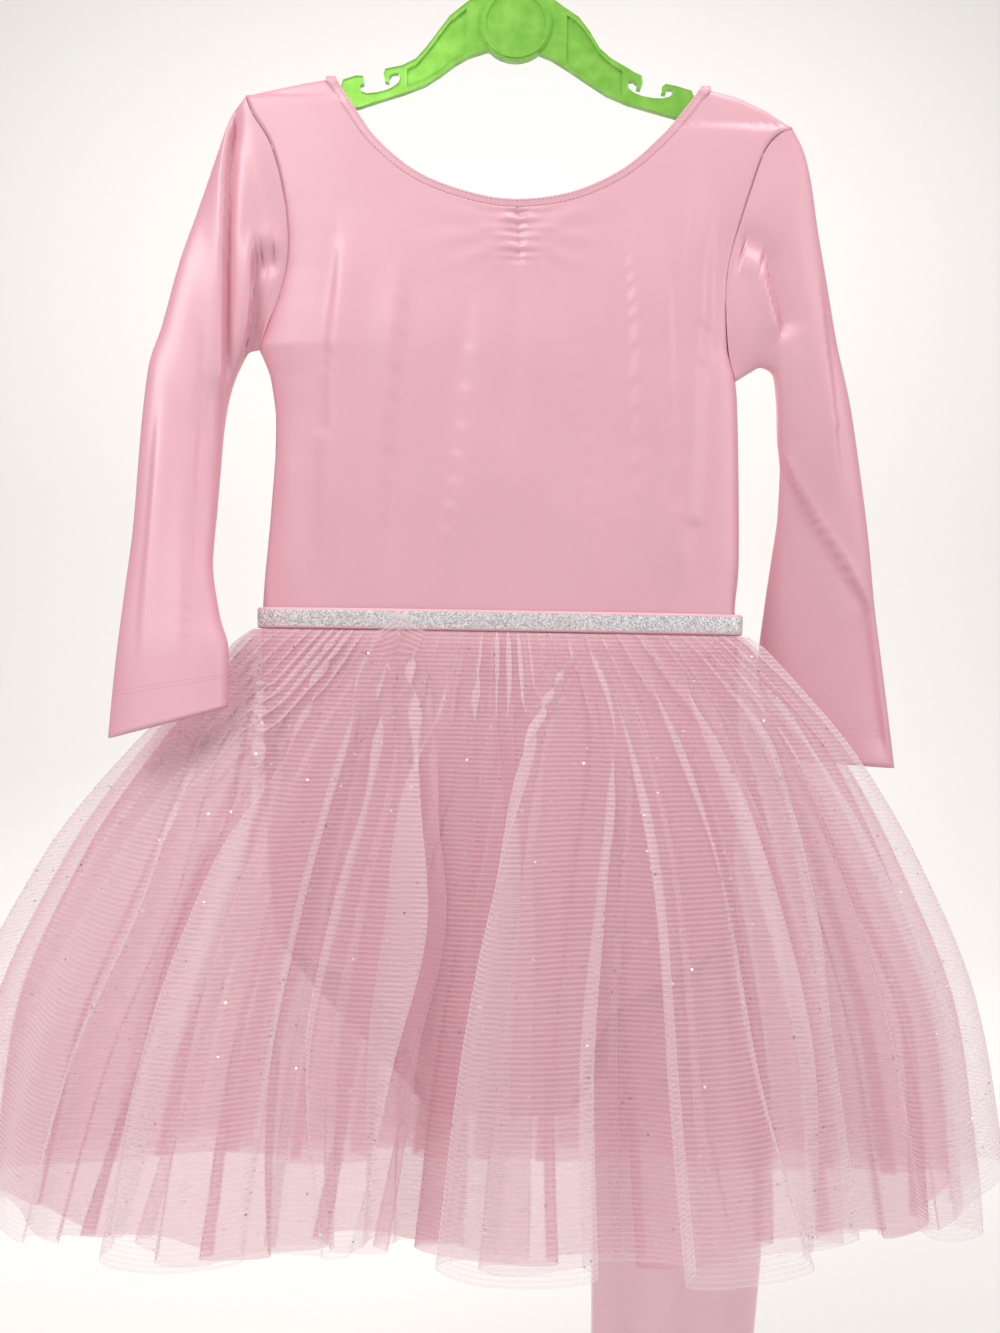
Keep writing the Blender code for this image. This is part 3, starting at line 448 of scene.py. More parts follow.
def pinch(x, z):
    """Small ridges gathered into the centre front seam, and folds that fan out of it."""
    cx = 3.0
    top, bottom = -176.0, -212.0
    inside = np.clip((top - z) / 4, 0, 1) * np.clip((z - bottom) / 6, 0, 1)
    d = np.abs(x - cx)
    ridges = 0.75 * np.sin((z - top) * 2 * math.pi / 5.2 + 0.7 * np.sin((z - top) * 0.4)) * np.exp(-(d / 9.0) ** 1.5)
    seam = -1.6 * np.exp(-(d / 1.6) ** 2)
    out = (ridges + seam) * inside
    for angle, height, reach in ((-0.50, 1.2, 46), (-0.12, 0.9, 40), (0.28, 1.0, 44), (3.60, 1.2, 46), (3.24, 0.9, 42),
                                 (2.84, 1.0, 44), (0.75, 0.7, 30), (2.4, 0.7, 30)):
        ux, uz = math.cos(angle), -math.sin(angle)
        for start in (-186.0, -199.0):
            rx, rz = x - cx, z - start
            t = rx * ux + rz * uz
            off = rx * uz - rz * ux
            fade = np.clip(t / 6, 0, 1) * np.exp(-(t / reach) ** 2)
            out = out + height * 0.6 * fade * np.exp(-(off / (1.8 + 0.10 * np.maximum(t, 0))) ** 2)
    return out


# ---- bodice ----
def bodice_grid(side, shoulder=14, neck=110, rows=170):
    neck_z = NECK_FRONT if side == "front" else NECK_BACK
    shares = np.linspace(0, 1, neck)
    line = curve_through(np.stack([NECK_X, neck_z], 1), shares)
    step = np.gradient(line, axis=0)
    step /= np.linalg.norm(step, axis=1, keepdims=True)
    out = np.stack([step[:, 1], -step[:, 0]], 1)
    out[0], out[-1] = (-1, 0), (1, 0)
    out[1:4] = out[0] + (out[4] - out[0]) * np.array([[0.25], [0.5], [0.75]])
    out[-4:-1] = out[-5] + (out[-1] - out[-5]) * np.array([[0.25], [0.5], [0.75]])
    line = line + out * (BINDING_WIDTH - 0.4)
    left_x = np.linspace(LEFT_SHOULDER[0, 0], line[0, 0], shoulder)
    right_x = np.linspace(line[-1, 0], RIGHT_SHOULDER[-1, 0], shoulder)
    line[0, 1], line[-1, 1] = shoulder_z(line[0, 0]), shoulder_z(line[-1, 0])
    top = np.vstack([np.stack([left_x, shoulder_z(left_x)], 1)[:-1], line, np.stack([right_x, shoulder_z(right_x)], 1)[1:]])
    u = np.concatenate([[0], np.cumsum(np.linalg.norm(np.diff(top, axis=0), axis=1))])
    u /= u[-1]
    bottom = np.stack([LEFT_EDGE[-1, 0] + (RIGHT_EDGE[-1, 0] - LEFT_EDGE[-1, 0]) * u, np.full(len(u), WAIST_Z)], 1)
    v = np.concatenate([np.linspace(0, 0.03, 14)[:-1], np.linspace(0.03, 1, rows - 13)])

    def side_line(table, low):
        k = int(np.argmin(np.abs(table[:, 1] - low)))
        upper = curve_through(table[:k + 1], np.clip(v / UNDERARM_SHARE, 0, 1))
        lower = curve_through(table[k:], np.clip((v - UNDERARM_SHARE) / (1 - UNDERARM_SHARE), 0, 1))
        return np.where((v <= UNDERARM_SHARE)[:, None], upper, lower)

    left, right = side_line(LEFT_EDGE, UNDERARM["left"]), side_line(RIGHT_EDGE, UNDERARM["right"])
    V, U = v[:, None, None], u[None, :, None]
    flat = (1 - V) * top[None] + V * bottom[None]
    flat = flat + (1 - U) ** 9 * (left[:, None] - (1 - V) * top[0] - V * bottom[0])
    flat = flat + U ** 9 * (right[:, None] - (1 - V) * top[-1] - V * bottom[-1])
    x, z = flat[..., 0], flat[..., 1]
    depth = bodice_depth(x, z)
    # soft creases fade out towards the edges
    extra = np.zeros_like(x)
    for line_, a, b, ra, rb, fade in (FRONT_CREASES if side == "front" else BACK_CREASES):
        extra += crease(x, z, line_, a, b, ra, rb, fade)
    extra = blur(blur(extra, 3, 1), 2, 0)
    if side == "front":
        extra += pinch(x, z)
    extra *= np.clip(U[..., 0] / 0.03, 0, 1) * np.clip((1 - U[..., 0]) / 0.03, 0, 1)
    sign = -1 if side == "front" else 1
    y = sign * np.maximum(depth + extra, 0.4)
    return np.stack([x, y, z], 2)


def make_bodice():
    made = []
    for side in ("front", "back"):
        obj = sheet_mesh("satin_" + side, bodice_grid(side), SATIN_LOOK, thick=SATIN, flip=side == "front")
        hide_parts("bodice_" + side)
        made.append(obj)
    return made


# ---- sleeves ----
SLEEVES = {
    "left": {
        "outer": [(-155.0, -128.0), (-163.0, -152.0), (-171.5, -180.0), (-180.5, -210.0), (-188.4, -245.9),
                  (-194.6, -271.0), (-196.4, -310.0), (-197.0, -352.0), (-199.7, -394.6), (-201.9, -427.7),
                  (-204.0, -468.0)],
        "inner": [(-143.5, -257.0), (-148.5, -266.0), (-152.5, -278.0), (-154.6, -292.0), (-155.2, -306.0),
                  (-155.4, -322.0), (-155.4, -343.0), (-156.0, -372.0), (-150.8, -402.0), (-144.4, -423.0),
                  (-143.6, -451.0)],
        "bow": [0.75, 0.5, 0.32, 0.2, 0.1, 0, 0, 0, 0, 0, 0],
        "half": [8.0, 9.0, 9.5, 10.0, 10.0, 10.0, 10.0, 10.0, 10.0, 10.5, 11.0],
        "back": [0.0, -1.0, -3.0, -6.5, -11.0, -15.0, -22.0, -29.5, -37.0, -42.5, -47.0],
        "edge": LEFT_EDGE, "low": UNDERARM["left"], "away": -1.0,
        "creases": [
            ([(-152.5, -122), (-156.1, -150), (-156.0, -200), (-155.2, -250), (-154.9, -290)], 3.2, -5.0, 9, 4.5, 0.12),
            ([(-139.5, -196), (-141.5, -214), (-142.5, -240), (-146.5, -262), (-153.0, -284)], 2.2, -5.5, 6, 9, 0.12),
            ([(-124.0, -206), (-132.0, -203), (-140.0, -207)], 2.6, -3.0, 9, 8, 0.2),
            ([(-166, -240), (-166, -330), (-164, -440)], 1.4, -0.4, 10, 8, 0.25),
            ([(-186, -280), (-188, -350), (-190, -440)], -0.8, 0.8, 10, 10, 0.3),
        ],
    },
    "right": {
        "outer": [(158.6, -141.0), (163.0, -156.0), (168.2, -185.0), (174.1, -212.4), (181.3, -245.3), (190.1, -278.1),
                  (197.9, -316.5), (205.1, -354.9), (210.6, -390.0), (217.2, -424.0), (227.6, -483.0)],
        "inner": [(131.0, -264.0), (138.0, -260.5), (145.5, -264.0), (148.6, -280.0), (150.0, -298.0), (152.6, -318.0),
                  (152.8, -340.0), (151.0, -364.0), (148.5, -392.0), (146.5, -425.0), (160.0, -478.0)],
        "bow": [0.75, 0.5, 0.32, 0.2, 0.1, 0, 0, 0, 0, 0, 0],
        "half": [8.0, 9.0, 9.5, 10.0, 10.0, 10.0, 10.0, 10.0, 10.0, 10.0, 10.5],
        "back": [0.0, 1.0, 3.0, 6.0, 10.0, 14.0, 19.5, 26.0, 32.5, 39.0, 47.0],
        "edge": RIGHT_EDGE, "low": UNDERARM["right"], "away": 1.0,
        "creases": [
            ([(120, -205), (128, -199), (137, -206), (142, -225), (148, -247)], 2.6, -5.0, 7, 10, 0.12),
            ([(147, -240), (149, -275), (151, -305)], 1.2, 0.8, 5, 9, 0.2),
            ([(150.3, -303), (157.8, -322), (171.9, -344), (188.8, -366), (205.7, -390), (212.0, -420), (222.5, -478)],
             -2.6, 1.8, 9, 4, 0.08),
            ([(168, -200), (178, -270), (188, -340)], 1.2, -0.6, 12, 10, 0.3),
        ],
    },
}


def ring_curve(values, at):
    """Smooth values between the sleeve's rings."""
    values = np.asarray(values, float)
    flat = values.reshape(len(values), -1)
    out = np.stack([smooth_table(at, np.arange(len(values)), flat[:, k]) for k in range(flat.shape[1])], 1)
    return out.reshape((len(at),) + values.shape[1:])


def sleeve_grid(side, halves=56, rows=190):
    t = SLEEVES[side]
    k = int(np.argmin(np.abs(t["edge"][:, 1] - t["low"])))
    turn = np.linspace(0, math.pi, halves + 1)
    shares = (1 - np.cos(turn)) / 2
    loop = curve_through(t["edge"][:k + 1], shares)
    loop[:, 0] += t["away"] * 0.25
    straight = loop[0] + shares[:, None] * (loop[-1] - loop[0])
    bow = loop - straight
    drop = np.maximum(0, loop[0, 1] - loop[:, 1])
    edge = np.minimum(smooth_table(drop, DEPTH_DROP, DEPTH_EDGE), 7.0) + 0.2
    edge[0] = edge[-1] = 0.0
    edge *= np.minimum(1, np.sin(turn) * 4)
    at = np.linspace(0, len(t["outer"]), rows)
    outer = ring_curve([loop[0]] + t["outer"], at)
    inner = ring_curve([loop[-1]] + t["inner"], at)
    amount = ring_curve([1.0] + t["bow"], at)
    half = ring_curve([0.0] + t["half"], at)
    back = ring_curve([0.0] + t["back"], at)
    line = outer[:, None] + shares[None, :, None] * (inner - outer)[:, None] + bow[None] * amount[:, None, None]
    body = np.maximum(0, 1 - np.abs(2 * shares - 1) ** 2.6) ** 0.5
    near = np.clip(at, 0, 1)[:, None]
    near = near * near * (3 - 2 * near)
    full = ring_curve(t["half"], np.maximum(at - 1, 0))[:, None] * body[None]
    depth = (1 - near) * edge[None] * 0.95 + near * full
    x, z = line[..., 0], line[..., 1]
    extra = np.zeros_like(x)
    for points, a, b, ra, rb, fade in t["creases"]:
        extra += crease(x, z, points, a, b, ra, rb, fade)
    extra = blur(extra, 2, 1)
    extra *= np.minimum(1, np.sin(turn) * 3)[None] * np.clip(at / 0.5, 0, 1)[:, None]
    rear = np.zeros_like(x)
    for k2, (px, amp) in enumerate(((0.3, 1.2), (0.62, -1.0), (0.8, 0.8))):
        rear += amp * np.exp(-((shares[None] - px - 0.05 * np.sin(at[:, None] * 0.7 + k2)) / 0.10) ** 2)
    rear *= np.clip(at / 2, 0, 1)[:, None] * np.minimum(1, np.sin(turn) * 3)[None]
    front = np.stack([x, back[:, None] - np.maximum(depth + extra, 0.3 * body[None]), z], 2)
    behind = np.stack([x, back[:, None] + np.maximum(depth + rear, 0.3 * body[None]), z], 2)[:, -2:0:-1]
    return np.concatenate([front, behind], axis=1)


def make_sleeves():
    made = {}
    for side in ("left", "right"):
        grid = sleeve_grid(side)
        obj = sheet_mesh("satin_sleeve_" + side, grid, SATIN_LOOK, wrap=True, thick=SATIN, flip=side == "left")
        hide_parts("sleeve_" + side)
        made[side] = (obj, grid)
    return made


# ---- rings round the waist and the skirt ----
def section_ring(width, lean, front, behind, power, shares):
    fine = np.linspace(0, math.pi, 721)
    s = -np.cos(fine)
    arch = np.sqrt(np.maximum(0, 1 - np.abs(s) ** power))
    x = np.concatenate([lean + width * s, (lean + width * s)[-2::-1]])
    y = np.concatenate([-front * arch, (behind * arch)[-2::-1]])
    steps = np.hypot(np.diff(x), np.diff(y))
    half = steps[:720].sum()
    rest = steps[720:].sum()
    done = np.concatenate([[0], np.cumsum(steps)])
    done = np.where(done <= half, done / half / 2, 0.5 + (done - half) / rest / 2)

    def read(at):
        return np.stack([np.interp(at % 1, done, x), np.interp(at % 1, done, y)], 1)

    points = read(shares)
    step = read(shares + 0.006) - read(shares - 0.006)
    step /= np.linalg.norm(step, axis=1, keepdims=True)
    return points, np.stack([step[:, 1], -step[:, 0]], 1), step


SKIRT_DROP = [0.0, 7.0, 24.0, 62.0, 125.0, 205.0, 294.0]
SKIRT = {
    "half_width": [130.5, 137.0, 152.0, 185.0, 226.0, 262.0, 279.0],
    "lean": [-3.1, -3.0, -3.0, -5.0, -10.0, -12.5, -13.0],
    "front": [12.7, 17.0, 27.0, 48.0, 76.0, 101.0, 116.0],
    "behind": [12.7, 15.0, 19.0, 27.0, 38.0, 49.0, 58.0],
    "round": [3.0, 2.9, 2.7, 2.5, 2.4, 2.3, 2.2],
    "gather": [0.0, 1.6, 2.4, 1.5, 0.5, 0.0, 0.0],
    "lobe": [0.0, 0.0, 0.15, 0.4, 0.72, 0.92, 1.0],
}
GATHERS = 44
LOBES = np.array([
    # place, width, out, lower, lean
    (0.015, 0.022, 16, 0, 0.0), (0.085, 0.024, 22, 6, -0.4), (0.145, 0.022, 20, 9, 0.5), (0.21, 0.020, 15, -4, -0.3),
    (0.275, 0.026, 24, 3, -0.5), (0.335, 0.024, 22, 6, 0.5), (0.385, 0.020, 19, -2, 0.4), (0.44, 0.020, 16, 4, 0.2),
    (0.495, 0.022, 15, -8, 0.0), (0.56, 0.020, 14, 0, -0.4), (0.615, 0.020, 16, 5, 0.4), (0.67, 0.019, 13, -3, -0.4),
    (0.725, 0.020, 15, 4, 0.4), (0.785, 0.021, 16, 0, -0.4), (0.84, 0.019, 13, 5, 0.4), (0.895, 0.020, 15, -2, -0.3),
    (0.95, 0.019, 13, 3, 0.3)])
LAYERS = {
    "under": {"at_waist": 2.0, "below": 2.1, "hem": -22.0, "longer": 6.0, "gather": 0.5, "lobe": 0.55},
    "middle": {"at_waist": 3.5, "below": 4.8, "hem": -9.0, "longer": 3.0, "gather": 0.85, "lobe": 0.8},
    "outer": {"at_waist": 5.0, "below": 8.2, "hem": 4.0, "longer": 0.0, "gather": 1.0, "lobe": 1.0},
}


# Folds that lie over their neighbours: x at five heights down the skirt, which side is in front, and overlap
FOLD_DROP = [10.0, 60.0, 130.0, 210.0, 294.0]
FRONT_FOLDS = [
    ([-141, -154, -172, -202, -223], 1, 9),
    ([-130, -124, -138, -163, -186], -1, 13),
    ([-93, -108, -134, -153, -168], -1, 8),
    ([-73, -81, -98, -113, -123], -1, 9),
    ([-64, -65, -79, -93, -97], -1, 10),
    ([-51, -45, -45, -57, -69], 1, 18),
    ([-30, -36, -43, -48, -50], 1, 8),
    ([-19, -12, -23, -33, -36], -1, 7),
    ([-2, -3, -6, -11, -14], 1, 8),
    ([35, 12, 1, -7, -11], -1, 18),
    ([47, 55, 48, 41, 44], 1, 9),
    ([52, 65, 75, 80, 87], -1, 10),
    ([72, 89, 105, 114, 125], 1, 9),
    ([88, 108, 129, 143, 148], 1, 17),
    ([104, 137, 156, 170, 183], 1, 11),
    ([117, 147, 173, 196, 210], -1, 8),
    ([125, 159, 195, 227, 232], 1, 10),
]
BACK_FOLDS = [
    ([118, 140, 165, 190, 205], -1, 11),
    ([100, 118, 140, 158, 170], 1, 14),
    ([80, 90, 104, 118, 128], -1, 9),
    ([60, 66, 74, 84, 92], -1, 12),
    ([38, 42, 46, 50, 54], 1, 16),
    ([14, 14, 12, 12, 10], -1, 9),
    ([-8, -12, -16, -20, -24], 1, 13),
    ([-30, -36, -44, -52, -60], -1, 11),
    ([-52, -60, -72, -84, -94], 1, 17),
    ([-76, -88, -104, -120, -132], -1, 9),
    ([-96, -112, -132, -152, -168], 1, 13),
    ([-114, -134, -160, -188, -206], -1, 10),
]
LAYER_SHIFT = {"outer": 0.0, "middle": 0.011, "under": -0.015}


def folded(shares, centre, half, side):
    """Sideways and outward shares of one fold that turns back under itself."""
    q = (shares - centre + 0.5) % 1 - 0.5
    q = q / half
    return -q * np.exp(-q * q), -side * 1.65 * q * np.exp(-q * q / 2)


def skirt_grid(name, columns, rows, seed):
    layer = LAYERS[name]
    shares = np.arange(columns) / columns
    drops = 294.0 * np.linspace(0, 1, rows) ** 1.35
    rng = np.random.default_rng(seed)
    lobe_out = np.zeros(columns)
    lower = np.zeros(columns)
    for place, width, out, low, _ in LOBES:
        gap = (shares - place + 0.5) % 1 - 0.5
        bump = np.exp(-(gap / width) ** 2)
        lobe_out += out * bump
        lower += low * bump
    # gathers uneven in place and height
    phase = np.cumsum(1 + 0.35 * np.sin(2 * math.pi * (5 * shares + rng.random())) +
                      0.25 * np.sin(2 * math.pi * (11 * shares + rng.random())))
    phase = phase / phase[-1] * GATHERS * 1.5
    uneven = 1 + 0.3 * np.sin(2 * math.pi * (7 * shares + rng.random())) + 0.25 * np.sin(2 * math.pi * (13 * shares))
    wave, lean_over = np.cos(2 * math.pi * phase) * uneven, np.sin(2 * math.pi * phase) * uneven
    small = sum(a * np.sin(2 * math.pi * (f * shares + rng.random())) for f, a in ((31, 1.0), (53, 0.7), (23, 1.2)))
    rings = []
    for drop in drops:
        def at(key):
            return float(smooth_table(drop, SKIRT_DROP, SKIRT[key]))
        fall = drop / 294.0
        if drop <= 7.0:
            base = layer["at_waist"] + (layer["below"] + (layer["hem"] - layer["below"]) * 7 / 294
                                        - layer["at_waist"]) * drop / 7.0
        else:
            base = layer["below"] + (layer["hem"] - layer["below"]) * fall
        shrink = min(base, 0.0)
        ring = (at("half_width") + shrink, at("lean"), at("front") + shrink, at("behind") + shrink, at("round"))
        points, outward, along = section_ring(*ring, shares)
        fine = np.linspace(0, 1, 1441)[:-1]
        finer, _, _ = section_ring(*ring, fine)
        perimeter = np.linalg.norm(np.diff(finer, axis=0, append=finer[:1]), axis=1).sum()
        ripple = small * 1.1 * math.sin(math.pi * min(1, fall * 1.4)) * layer["lobe"]
        top = float(smooth_table(drop, [0, 4, 14, 30, 70, 120, 294], [0.5, 0.9, 1.0, 0.85, 0.35, 0.0, 0.0]))
        pitch = perimeter / (GATHERS * 1.5)
        out = max(base, 0) + 1.5 * top * layer["gather"] * wave + at("lobe") * layer["lobe"] * (lobe_out - 8) + ripple
        slide = -0.24 * pitch * top * layer["gather"] * lean_over
        grow = float(smooth_table(fall, [0, 0.03, 0.15, 0.4, 1.0], [0.0, 0.15, 0.55, 0.9, 1.0]))
        for folds, first, last in ((FRONT_FOLDS, 0, 721), (BACK_FOLDS, 720, 1440)):
            xs, at_share = finer[first:last, 0], fine[first:last]
            order = np.argsort(xs)
            for line, side, overlap in folds:
                x = float(smooth_table(drop, FOLD_DROP, line))
                centre = float(np.interp(x, xs[order], at_share[order])) + LAYER_SHIFT[name]
                wide = overlap * (0.35 + 0.65 * fall) * grow * (1.0 if name == "outer" else 0.7)
                half = max(wide, 1.0) / (0.718 * perimeter)
                across, depth = folded(shares, centre, half, side)
                slide = slide + 2.2 * half * perimeter * across * min(1, grow * 4)
                out = out + depth * wide * 0.42
        xy = points + outward * out[:, None] + along * slide[:, None]
        z = WAIST_Z - 0.2 - drop - (lower + layer["longer"]) * fall ** 2
        if name == "outer":
            z = z + 10.5 * np.exp(-((points[:, 0] + 56) / 6.5) ** 2) * (points[:, 1] < 0) * max(0, 1 - drop / 16)
        rings.append(np.column_stack([xy, np.broadcast_to(z, (columns,))]))
    return np.array(rings)


def make_skirt():
    made = {}
    for name, columns, rows, look, seed, width in (
        ("under", 520, 56, UNDER_LOOK, 3, 1.2), ("middle", 760, 64, MIDDLE_LOOK, 5, 1.3),
        ("outer", 1120, 84, OUTER_LOOK, 9, 1.45),
    ):
        grid = skirt_grid(name, columns, rows, seed)
        u = np.linspace(0, width * 1000, columns + 1)
        v = 345 * np.linspace(0, 1, rows) ** 1.35
        obj = sheet_mesh("tulle_" + name, grid, look, wrap=True, uv=(u, v))
        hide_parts("skirt_" + name)
        made[name] = (obj, grid)
    return made


def make_band():
    shares = np.linspace(0, 1, 400, endpoint=False)
    points, outward, _ = section_ring(130.45, -3.15, 12.7, 12.7, 3.0, shares)
    rings = []
    for z, out in ((-397.6, 2.0), (-398.4, 2.35), (-399.6, 2.4), (-403, 2.45), (-406.6, 2.3), (-407.8, 2.2), (-408.4, 1.8)):
        ripple = 0.15 * np.sin(shares * 2 * math.pi * 60)
        xy = points + outward * (out + ripple)[:, None]
        rings.append(np.column_stack([xy, np.full(400, z)]))
    obj = sheet_mesh("glitter_band", np.array(rings), ELASTIC_LOOK, wrap=True, thick=1.2,
                     uv=(np.linspace(0, 560, 401), np.array([0, 0.8, 2.0, 5.4, 8.9, 10.1, 10.8])))
    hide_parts("waistband")
    return obj


# ---- lower half of the leotard ----
BRIEF = {
    "z": [-409.4, -450, -500, -545, -578, -600, -620, -642, -660, -674],
    "front_left": [-133.6, -132.0, -130.0, -127.0, -121.0, -82.0, -57.0, -48.0, -41.5, -36.5],
    "front_right": [127.3, 128.0, 128.0, 126.0, 120.0, 84.0, 59.0, 50.0, 43.5, 38.5],
    "back_left": [-133.6, -132.0, -130.0, -127.0, -121.0, -107.0, -88.0, -66.0, -48.0, -36.5],
    "back_right": [127.3, 128.0, 128.0, 126.0, 120.0, 108.0, 90.0, 68.0, 50.0, 38.5],
    "depth": [12.7, 12.4, 12.0, 11.5, 10.5, 9.5, 8.0, 6.0, 3.6, 0.45],
    "edge": [0.45, 0.45, 0.45, 0.45, 0.45, 3.8, 3.2, 2.4, 1.44, 0.45],
}


def make_brief():
    zs = np.linspace(-409.4, -674, 110)
    s = np.sin(np.linspace(-1, 1, 90) * math.pi / 2)
    for side, sign in (("front", -1), ("back", 1)):
        left = smooth_table(-zs, -np.array(BRIEF["z"]), BRIEF[side + "_left"])
        right = smooth_table(-zs, -np.array(BRIEF["z"]), BRIEF[side + "_right"])
        depth = smooth_table(-zs, -np.array(BRIEF["z"]), BRIEF["depth"])
        edge = smooth_table(-zs, -np.array(BRIEF["z"]), BRIEF["edge"])
        x = ((left + right) / 2)[:, None] + ((right - left) / 2)[:, None] * s[None]
        y = edge[:, None] + (depth - edge)[:, None] * dome(s)[None]
        ripple = 0.7 * np.sin(x / 17 + 1.3 * np.sin(zs[:, None] / 45)) * (1 - s[None] ** 2)
        y = np.maximum(y + ripple, 0.4)
        grid = np.stack([x, sign * y, np.repeat(zs[:, None], 90, 1)], 2)
        obj = sheet_mesh("satin_brief_" + side, grid, SATIN_LOOK, thick=SATIN, flip=sign < 0)
        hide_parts("brief_" + side)


# ---- neck binding with its two rows of stitches ----
def binding_line(count=150):
    shares = np.linspace(0, 1, count)
    over = 4.1
    front = curve_through(np.stack([NECK_X, NECK_FRONT], 1), shares)
    back = curve_through(np.stack([NECK_X, NECK_BACK], 1), shares)
    turn = np.linspace(math.pi / 2, -math.pi / 2, 13)
    points = [(front[0, 0], over * math.sin(a), front[0, 1] - 0.6 + 1.2 * math.cos(a)) for a in turn]
    points += [(x, -max(float(d), over + 0.4), z) for (x, z), d in zip(front[1:-1], bodice_depth(front[1:-1, 0], front[1:-1, 1]))]
    points += [(front[-1, 0], -over * math.sin(a), front[-1, 1] - 0.6 + 1.2 * math.cos(a)) for a in turn]
    points += [(x, max(float(d), over + 0.4), z) for (x, z), d in
               zip(back[-2:0:-1], bodice_depth(back[-2:0:-1, 0], back[-2:0:-1, 1]))]
    centre = np.array(points)
    step = np.roll(centre, -1, 0) - np.roll(centre, 1, 0)
    step /= np.linalg.norm(step, axis=1, keepdims=True)
    away = centre - np.array([2.0, 0.0, -60.0])
    away[:, 1] = 0
    away[:13] = (-1, 0, 0)
    other = 13 + count - 2
    away[other:other + 13] = (1, 0, 0)
    away -= (away * step).sum(1, keepdims=True) * step
    away /= np.linalg.norm(away, axis=1, keepdims=True)
    for _ in range(6):
        away = (np.roll(away, 1, 0) + 2 * away + np.roll(away, -1, 0)) / 4
        away /= np.linalg.norm(away, axis=1, keepdims=True)
    return centre, step, away


def make_binding():
    centre, step, away = binding_line()
    face = np.cross(step, away)
    face /= np.linalg.norm(face, axis=1, keepdims=True)
    # a rounded strip: its section goes once round
    section = [(0.0, 0.0), (0.25, 0.75), (0.9, 0.98), (2.0, 0.95), (3.2, 0.88), (4.4, 0.92), (5.1, 0.85), (5.4, 0.3), (5.2, -0.5),
               (2.6, -0.8), (0.3, -0.6)]
    middle = centre.mean(axis=0)
    outward = np.sign((face * (centre - middle)).sum(1))
    outward = np.where(np.abs(face[:, 1]) > 0.3, np.sign(face[:, 1]) * np.sign(centre[:, 1] + 1e-6), np.sign(face[:, 2]))
    face = face * outward[:, None]
    grid = np.array([centre + away * a + face * b for a, b in section])
    grid = np.transpose(grid, (1, 0, 2))
    grid = np.concatenate([grid, grid[:1]], 0)
    obj = sheet_mesh("neck_edge", grid, SATIN_LOOK, wrap=True, uv=None)
    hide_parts("neck_binding")
    verts, faces = [], []
    total = np.concatenate([[0], np.cumsum(np.linalg.norm(np.diff(np.vstack([centre, centre[:1]]), axis=0), axis=1))])
    for row in (1.15, 4.2):
        for s in np.arange(0, total[-1], 2.3):
            def read(table, at):
                full = np.vstack([table, table[:1]])
                return np.array([np.interp(at % total[-1], total, full[:, k]) for k in range(3)])
            a = read(centre, s) + read(away, s) * row + read(face, s) * 1.0
            b = read(centre, s + 1.5) + read(away, s + 1.5) * row + read(face, s + 1.5) * 1.0
            w, up = read(away, s) * 0.17, read(face, s) * 0.22
            k = len(verts)
            verts += [a - w, a + w, b + w, b - w, (a + b) / 2 - w * 0.8 + up, (a + b) / 2 + w * 0.8 + up]
            faces += [[k, k + 1, k + 5, k + 4], [k + 1, k + 2, k + 5], [k + 2, k + 3, k + 4, k + 5], [k + 3, k, k + 4]]
    stitches = bmesh_faces("neck_stitches", verts, faces, THREAD_LOOK)


def bmesh_faces(name, verts, faces, look):
    mesh = bpy.data.meshes.new(name)
    mesh.from_pydata([tuple(float(c) * MM for c in v) for v in verts], [], faces)
    mesh.materials.append(look)
    obj = bpy.data.objects.new(name, mesh)
    bpy.context.scene.collection.objects.link(obj)
    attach(obj, "root")
    return obj


def make_sash():
    z = np.linspace(-400, -845, 120)
    left = smooth_table(-z, [400, 420, 470, 540, 620, 700, 760, 845], [62, 56, 50, 50, 54, 58, 59, 60])
    right = smooth_table(-z, [400, 420, 470, 540, 620, 700, 760, 845], [98, 106, 120, 136, 150, 160, 160, 155])
    off = smooth_table(-z, [400, 420, 470, 540, 620, 700, 760, 845], [4, 14, 17.5, 20, 23, 26, 27, 28])
    s = np.linspace(-1, 1, 60)
    x = ((left + right) / 2)[:, None] + ((right - left) / 2)[:, None] * s[None]
    drop = np.clip(WAIST_Z - z, 0, 294)[:, None]
    width = smooth_table(drop, SKIRT_DROP, SKIRT["half_width"])
    lean = smooth_table(drop, SKIRT_DROP, SKIRT["lean"])
    behind = smooth_table(drop, SKIRT_DROP, SKIRT["behind"])
    power = smooth_table(drop, SKIRT_DROP, SKIRT["round"])
    arch = np.sqrt(np.maximum(0, 1 - np.abs((x - lean) / width) ** power))
    y = behind * arch + off[:, None]
    y = y + (1.6 * np.sin(s * 5.0 + 0.6)[None] + 1.0 * np.sin(s * 9 + 2)[None]) * np.clip((-z - 420) / 150, 0, 1)[:, None]
    for k, shift in (("a", -0.5), ("b", 0.5)):
        grid = np.stack([x + shift, y + shift, np.repeat(z[:, None], 60, 1)], 2)
        obj = sheet_mesh("sash_" + k, grid, SASH_LOOK)
        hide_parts("sash_tail")


